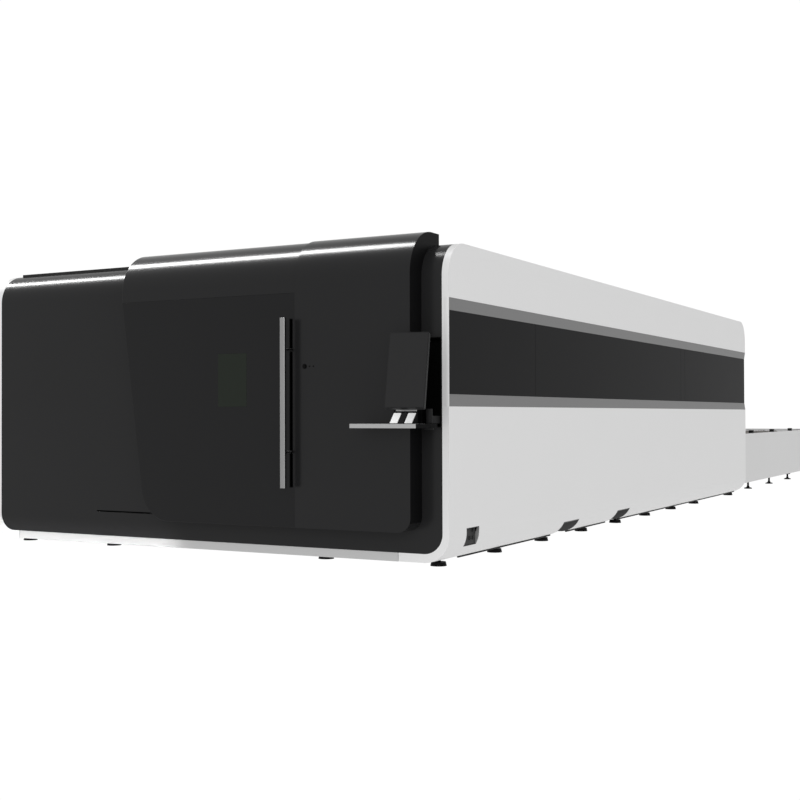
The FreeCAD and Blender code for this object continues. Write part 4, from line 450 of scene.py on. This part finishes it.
def add_box(shape, low, high, rounding):
    """A box between two corners, with its edges rounded."""
    made = bmesh.ops.create_cube(shape, size=1.0)["verts"]
    bmesh.ops.scale(shape, vec=high - low, verts=made)
    bmesh.ops.translate(shape, vec=(low + high) / 2, verts=made)
    edges = list({edge for vert in made for edge in vert.link_edges})
    bmesh.ops.bevel(shape, geom=edges, offset=rounding, offset_type="OFFSET", segments=BOX_SEGMENTS,
                    profile=0.5, affect="EDGES", material=-1)


def joined_to(verts):
    """The given vertices and all those that edges join to them."""
    found, seen = list(verts), set(verts)
    for vert in found:
        for edge in vert.link_edges:
            other = edge.other_vert(vert)
            if other not in seen:
                seen.add(other)
                found.append(other)
    return found


def add_turned(shape, profile, centre, steps, axis="z"):
    """A round piece: a profile of (radius, height) points spun about an axis through centre."""
    verts = [shape.verts.new((radius, 0, height)) for radius, height in profile]
    edges = [shape.edges.new(pair) for pair in zip(verts, verts[1:])]
    bmesh.ops.spin(shape, geom=verts + edges, cent=(0, 0, 0), axis=(0, 0, 1), angle=math.tau,
                   steps=steps, use_merge=True, use_duplicate=False)
    made = joined_to(verts)
    bmesh.ops.remove_doubles(shape, verts=made, dist=SPUN_MERGE_DISTANCE)
    made = [vert for vert in made if vert.is_valid]
    bmesh.ops.rotate(shape, cent=(0, 0, 0), matrix=AXIS_TURNS[axis], verts=made)
    bmesh.ops.translate(shape, vec=centre, verts=made)


# ---------------------------------------------------------------- carried-over pieces

# Node, material, width of the broken edges and their segments
SOFTENED = [
    ("side_shell_right", SHELL_WHITE, 0.004, 3),
    ("side_shell_left", SHELL_WHITE, 0.004, 3),
    ("front_panel", PANEL_BLACK, 0.003, 2),
    ("door_shell", FRONT_BLACK, 0.003, 3),
    ("tray_carrier", TRAY_BLACK, 0.001, 2),
    ("door_face", FACE_BLACK, 0.0015, 2),
    ("front_skirt", SKIRT_GREY, 0.002, 2),
    ("rear_panel", ROOF_BLACK, 0.003, 2),
    ("roof_panels", ROOF_BLACK, 0.003, 2),
    ("band_panels", BAND_BLACK, 0.001, 2),
    ("band_trims", STRIP_GREY, 0.0008, 1),
    ("table_panels", TABLE_WHITE, 0.004, 3),
    ("edge_blocks", RUBBER, 0.003, 2),
    ("console_tray", TRAY_PAINT, 0.0015, 2),
    ("screen_housing", CONSOLE_BLACK, 0.002, 2),
    ("screen_column", CONSOLE_BLACK, 0.0015, 2),
    ("console_bracket", CONSOLE_BLACK, 0.0015, 2),
    ("gantry_beam", GANTRY_PAINT, 0.003, 2),
    ("gantry_saddles", GANTRY_PAINT, 0.003, 2),
    ("carriage", GANTRY_PAINT, 0.002, 2),
    ("gantry_motors", MOTOR_PAINT, 0.002, 2),
    ("rear_gate", SLATE, 0.003, 2),
]
PLAIN = {
    # Cabin and door
    "console_niche": DEEP_BLACK, "front_lamps": DEEP_BLACK, "start_button": BUTTON_BLACK,
    "door_window": PANE, "handle_channel": DEEP_BLACK, "door_rail": DARK_RAIL,
    "door_guide_channel": DEEP_BLACK, "door_runners": BLACK_STEEL, "door_guide_pin": RAIL_STEEL,
    "port_fittings": PORT_GREY, "fork_channels": SLATE, "machine_feet": BLACK_STEEL,
    "base_frame": FRAME_GREY, "cabin_frame": FRAME_GREY, "bed_beams": FRAME_GREY,
    "gate_guides": FRAME_GREY, "scrap_trays": ZINC,
    # Console
    "key_fields": KEY_WHITE, "screen_glass": SCREEN_FACE,
    # Gantry
    "gantry_rails": RAIL_STEEL, "gantry_racks": TRACK_STEEL, "beam_rails": RAIL_STEEL,
    "cutting_head": HANDLE_METAL, "nozzle": COPPER,
    # Pallets and table
    "upper_pallet": GRATE, "lower_pallet": GRATE, "cabin_tracks": TRACK_STEEL,
    "table_tracks": TRACK_STEEL, "table_frame": TABLE_GREY, "drive_chains": CHAIN_STEEL,
    "drive_shaft": TRACK_STEEL, "idler_shaft": TRACK_STEEL, "shaft_bearings": MOTOR_PAINT,
    "exchange_motor": MOTOR_PAINT,
}

for node, material, width, segments in SOFTENED:
    softened(node, material, width, segments)
# Painted shade: the right-facing faces of the front cover and the door handle get the darker black.
softened("front_cover", FRONT_BLACK, width=0.003, segments=3, side_light_and_shade_material=SHADED_SIDE_BLACK)
softened("door_handle", HANDLE_METAL, width=0.0025, segments=3, side_light_and_shade_material=SHADED_SIDE_BLACK)
# Painted light: the forward-facing faces of the port tray get the lighter grey.
softened("port_tray", PORT_GREY, width=0.001, segments=1, side_light_and_shade_material=PORT_LIT_SIDE, end_side=FORWARD)
for node, material in PLAIN.items():
    dress(node, material)


# ---------------------------------------------------------------- pieces of their own

THIN_ROUNDING = 0.0008


def between(side, inner, outer):
    """Low and high X of a piece that lies between two distances from the middle on one side."""
    return sorted((side * inner, side * outer))


RIM_INNER, RIM_OUTER = 2.060, 2.0898
RIM_FRONT, RIM_BACK = -0.0012, 0.008
RIM_LOW, RIM_HIGH = 1.088, 1.825


def band_rims():
    """White edges that close the front end of the sunk band on both sides."""
    shape = bmesh.new()
    for side in SIDES:
        left, right = between(side, RIM_INNER, RIM_OUTER)
        add_box(shape, place(left, RIM_FRONT, RIM_LOW), place(right, RIM_BACK, RIM_HIGH), THIN_ROUNDING)
    piece = piece_from(shape, "band_rims", SHELL_WHITE, "machine")


STRIP_INNER, STRIP_OUTER = 1.940, 1.955
STRIP_LOW, STRIP_HIGH = 0.033, 0.046
STRIP_RUNS = ((0.420, 2.160), (2.526, 3.530), (3.896, 8.540))   # front and back end of each length
STRIP_ROUNDING = 0.003


def shell_strips():
    """Black strips along the lower edges of the shells, left open at the fork pockets."""
    shape = bmesh.new()
    for side in SIDES:
        left, right = between(side, STRIP_INNER, STRIP_OUTER)
        for near, far in STRIP_RUNS:
            add_box(shape, place(left, near, STRIP_LOW), place(right, far, STRIP_HIGH), STRIP_ROUNDING)
    piece = piece_from(shape, "shell_strips", RUBBER, "machine")


# Painted shade: dark discs in the bores of the three pipe ends
BOTTOM_X = 2.0622
BOTTOM_PLACES = ((0.424, 0.230), (0.372, 0.179), (0.424, 0.179))        # how far back and how high
BOTTOM_PROFILE = [(0, 0), (0.0070, 0), (0.0078, 0.0008), (0.0078, 0.0020), (0.0070, 0.0028), (0, 0.0034)]
BOTTOM_STEPS = 24


def port_bore_shade():
    """Painted shade: dark discs at the bottoms of the three pipe ends in the recess, where the bores lie
    in shade.
    """
    shape = bmesh.new()
    for back, up in BOTTOM_PLACES:
        add_turned(shape, BOTTOM_PROFILE, place(BOTTOM_X, back, up), BOTTOM_STEPS, axis="x")
    bmesh.ops.recalc_face_normals(shape, faces=shape.faces)
    piece = piece_from(shape, "port_bore_shade", DEEP_BLACK, "machine")


LIP_LEFT, LIP_RIGHT = 1.845, 2.0015
LIP_FRONT, LIP_BACK = -0.2890, -0.2860
LIP_LOW, LIP_HIGH = 1.0590, 1.0690


def desk_edge():
    """Pale edge along the lip behind the keys."""
    shape = bmesh.new()
    add_box(shape, place(LIP_LEFT, LIP_FRONT, LIP_LOW), place(LIP_RIGHT, LIP_BACK, LIP_HIGH),
            THIN_ROUNDING)
    piece = piece_from(shape, "desk_edge", LIP_GREY, "console")


FOOT_RADIUS = 0.055
FOOT_ROW_GAP = 0.2              # rows of feet stand further apart than this
PAD_PROFILE = [(0, 0.0005), (0.050, 0.0005), (0.0545, 0.005), (0.052, 0.012), (0.030, 0.019),
               (0.019, 0.024), (0.019, 0.038), (0.013, 0.041)]  # with the lock nut
THREAD_PITCH = 0.006
THREAD_CORE, THREAD_CREST = 0.0125, 0.0145      # radii
THREAD_START = 0.042
UNTHREADED = 0.044              # height of the foot that is left without thread
STEM_GAP = 0.001                # between the stem's top and the top of the CAD foot
FOOT_STEPS = 20
FOOT_SHARP_ANGLE = 35.0         # degrees


def foot_rows():
    """The Y of the middle of each row of table feet."""
    rows = []
    for y in sorted({round(vert.co.y, 4) for vert in frame["nodes"]["table_feet"].data.vertices}):
        if not rows or y - rows[-1][1] > FOOT_ROW_GAP:
            rows.append([y, y])
        rows[-1][1] = y
    return [(first + last) / 2 for first, last in rows]


def table_levelling_feet():
    """Levelling feet of the table: a low domed pad, a lock nut and a slender threaded stem."""
    low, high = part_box("table_feet")
    top = high[2] - STEM_GAP
    profile = list(PAD_PROFILE)
    for turn in range(int((high[2] - UNTHREADED) / THREAD_PITCH)):
        root = THREAD_START + turn * THREAD_PITCH
        profile += [(THREAD_CORE, root), (THREAD_CREST, root + THREAD_PITCH / 2)]
    profile += [(THREAD_CORE, top), (0, top)]
    shape = bmesh.new()
    for row in foot_rows():
        for across in (high[0] - FOOT_RADIUS, low[0] + FOOT_RADIUS):
            add_turned(shape, profile, Vector((across, row, 0)), FOOT_STEPS)
    bmesh.ops.recalc_face_normals(shape, faces=shape.faces)
    piece = piece_from(shape, "table_levelling_feet", BLACK_STEEL, "machine", sharp=FOOT_SHARP_ANGLE)
    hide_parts("table_feet")


band_rims()
shell_strips()
port_bore_shade()
desk_edge()
table_levelling_feet()


# ---------------------------------------------------------------- camera, light and floor

# Camera, fitted to the straight edges of the photograph
CAMERA_PLACE = place(5.6912, -7.2894, 1.0353)
CAMERA_YAW, CAMERA_PITCH, CAMERA_ROLL = 28.586, 0.700, -0.168      # degrees
FOCAL_PIXELS, PHOTO_PIXELS = 1219.09, 800.0     # focal length and width of the photograph
SENSOR_MILLIMETRES = 36.0
CLIP_END = 400.0


def camera():
    """Camera where the photograph was taken from."""
    yaw, pitch, roll = (math.radians(angle) for angle in (CAMERA_YAW, CAMERA_PITCH, CAMERA_ROLL))
    forward = Vector((-math.sin(yaw) * math.cos(pitch), math.cos(yaw) * math.cos(pitch), math.sin(pitch)))
    right = Vector((math.cos(yaw), math.sin(yaw), 0))
    up = right.cross(forward)
    right, up = right * math.cos(roll) + up * math.sin(roll), up * math.cos(roll) - right * math.sin(roll)
    data = bpy.data.cameras.new("Camera")
    data.sensor_width = SENSOR_MILLIMETRES
    data.lens = FOCAL_PIXELS / PHOTO_PIXELS * SENSOR_MILLIMETRES
    data.clip_end = CLIP_END
    holder = bpy.data.objects.new("Camera", data)
    turn = Matrix((right, up, -forward)).transposed().to_4x4()
    holder.matrix_world = Matrix.Translation(CAMERA_PLACE) @ turn
    bpy.context.scene.collection.objects.link(holder)
    bpy.context.scene.camera = holder


# Strength of the sky and the floor, as light on the machine and as the camera sees them
SKY_GLOW, FLOOR_GLOW = 0.74, 0.81
SEEN_WHITE = 1.02
FLOOR_REACH = 160.0
PURE_BLACK, PURE_WHITE = (0, 0, 0, 1), (1, 1, 1, 1)


def seen_or_lit(tree, lit):
    """A strength of white for what the camera sees, and another for what lights the machine."""
    path = tree.nodes.new("ShaderNodeLightPath")
    strength = tree.nodes.new("ShaderNodeMapRange")
    strength.inputs["To Min"].default_value = lit
    strength.inputs["To Max"].default_value = SEEN_WHITE
    tree.links.new(path.outputs["Is Camera Ray"], strength.inputs["Value"])
    return strength.outputs["Result"]


def floor_white():
    """A white that glows and takes no shadow."""
    material = bpy.data.materials.new("floor_white")
    material.use_nodes = True
    tree = material.node_tree
    shader = tree.nodes["Principled BSDF"]
    shader.inputs["Base Color"].default_value = PURE_BLACK
    shader.inputs["Roughness"].default_value = 1.0
    shader.inputs["Specular IOR Level"].default_value = 0.0
    shader.inputs["Emission Color"].default_value = PURE_WHITE
    tree.links.new(seen_or_lit(tree, FLOOR_GLOW), shader.inputs["Emission Strength"])
    return material


def pale_floor():
    """Pale floor under the machine and far round it."""
    shape = bmesh.new()
    bmesh.ops.create_grid(shape, x_segments=1, y_segments=1, size=FLOOR_REACH)
    mesh = bpy.data.meshes.new("Floor")
    shape.to_mesh(mesh)
    shape.free()
    mesh.materials.append(floor_white())
    floor = bpy.data.objects.new("Floor", mesh)
    bpy.context.scene.collection.objects.link(floor)


def bright_sky():
    """Bright surroundings."""
    world = bpy.data.worlds.new("Studio")
    bpy.context.scene.world = world
    world.use_nodes = True
    tree = world.node_tree
    back = tree.nodes["Background"]
    back.inputs["Color"].default_value = PURE_WHITE
    tree.links.new(seen_or_lit(tree, SKY_GLOW), back.inputs["Strength"])


# Lights: where each one hangs, the point that it faces, its size across and along, and its watts.
# The long strip gives the hood its bright line. The skirt light brightens the skirt's left half.
STRIP_PLACE, STRIP_TARGET = place(-6.0, -0.05, 8.0), place(-6.0, 0.1, 2.1)
STRIP_SIZE, STRIP_WATTS = (10.0, 1.15), 1550
FILL_PLACE, FILL_TARGET = place(6.0, -15.0, 5.0), place(0, 0, 1.2)
FILL_SIZE, FILL_WATTS = (9.0, 6.0), 480
SKIRT_PLACE, SKIRT_TARGET = place(-1.21, -1.0, 0.030), place(-1.21, 0, 0.045)
SKIRT_SIZE, SKIRT_WATTS = (1.98, 0.03), 0.9
WIDE_SPREAD, SKIRT_SPREAD = 180.0, 20.0         # degrees


def soft_light(name, where, target, size, watts, spread=WIDE_SPREAD):
    """A flat soft light that faces a point."""
    data = bpy.data.lights.new(name, "AREA")
    data.shape = "RECTANGLE"
    data.size, data.size_y = size
    data.energy = watts
    data.spread = math.radians(spread)
    holder = bpy.data.objects.new(name, data)
    look = (target - where).to_track_quat("-Z", "Y")
    holder.matrix_world = Matrix.Translation(where) @ look.to_matrix().to_4x4()
    bpy.context.scene.collection.objects.link(holder)
    return holder


def soft_lights():
    """The strip over the front, the fill before it and the small light on the skirt."""
    strip = soft_light("Edge strip", STRIP_PLACE, STRIP_TARGET, STRIP_SIZE, STRIP_WATTS)
    strip.visible_diffuse = False       # it shows only in reflections
    soft_light("Front fill", FILL_PLACE, FILL_TARGET, FILL_SIZE, FILL_WATTS)
    soft_light("Skirt light", SKIRT_PLACE, SKIRT_TARGET, SKIRT_SIZE, SKIRT_WATTS, spread=SKIRT_SPREAD)


camera()
pale_floor()
bright_sky()
soft_lights()
bpy.context.scene.view_settings.view_transform = "Standard"
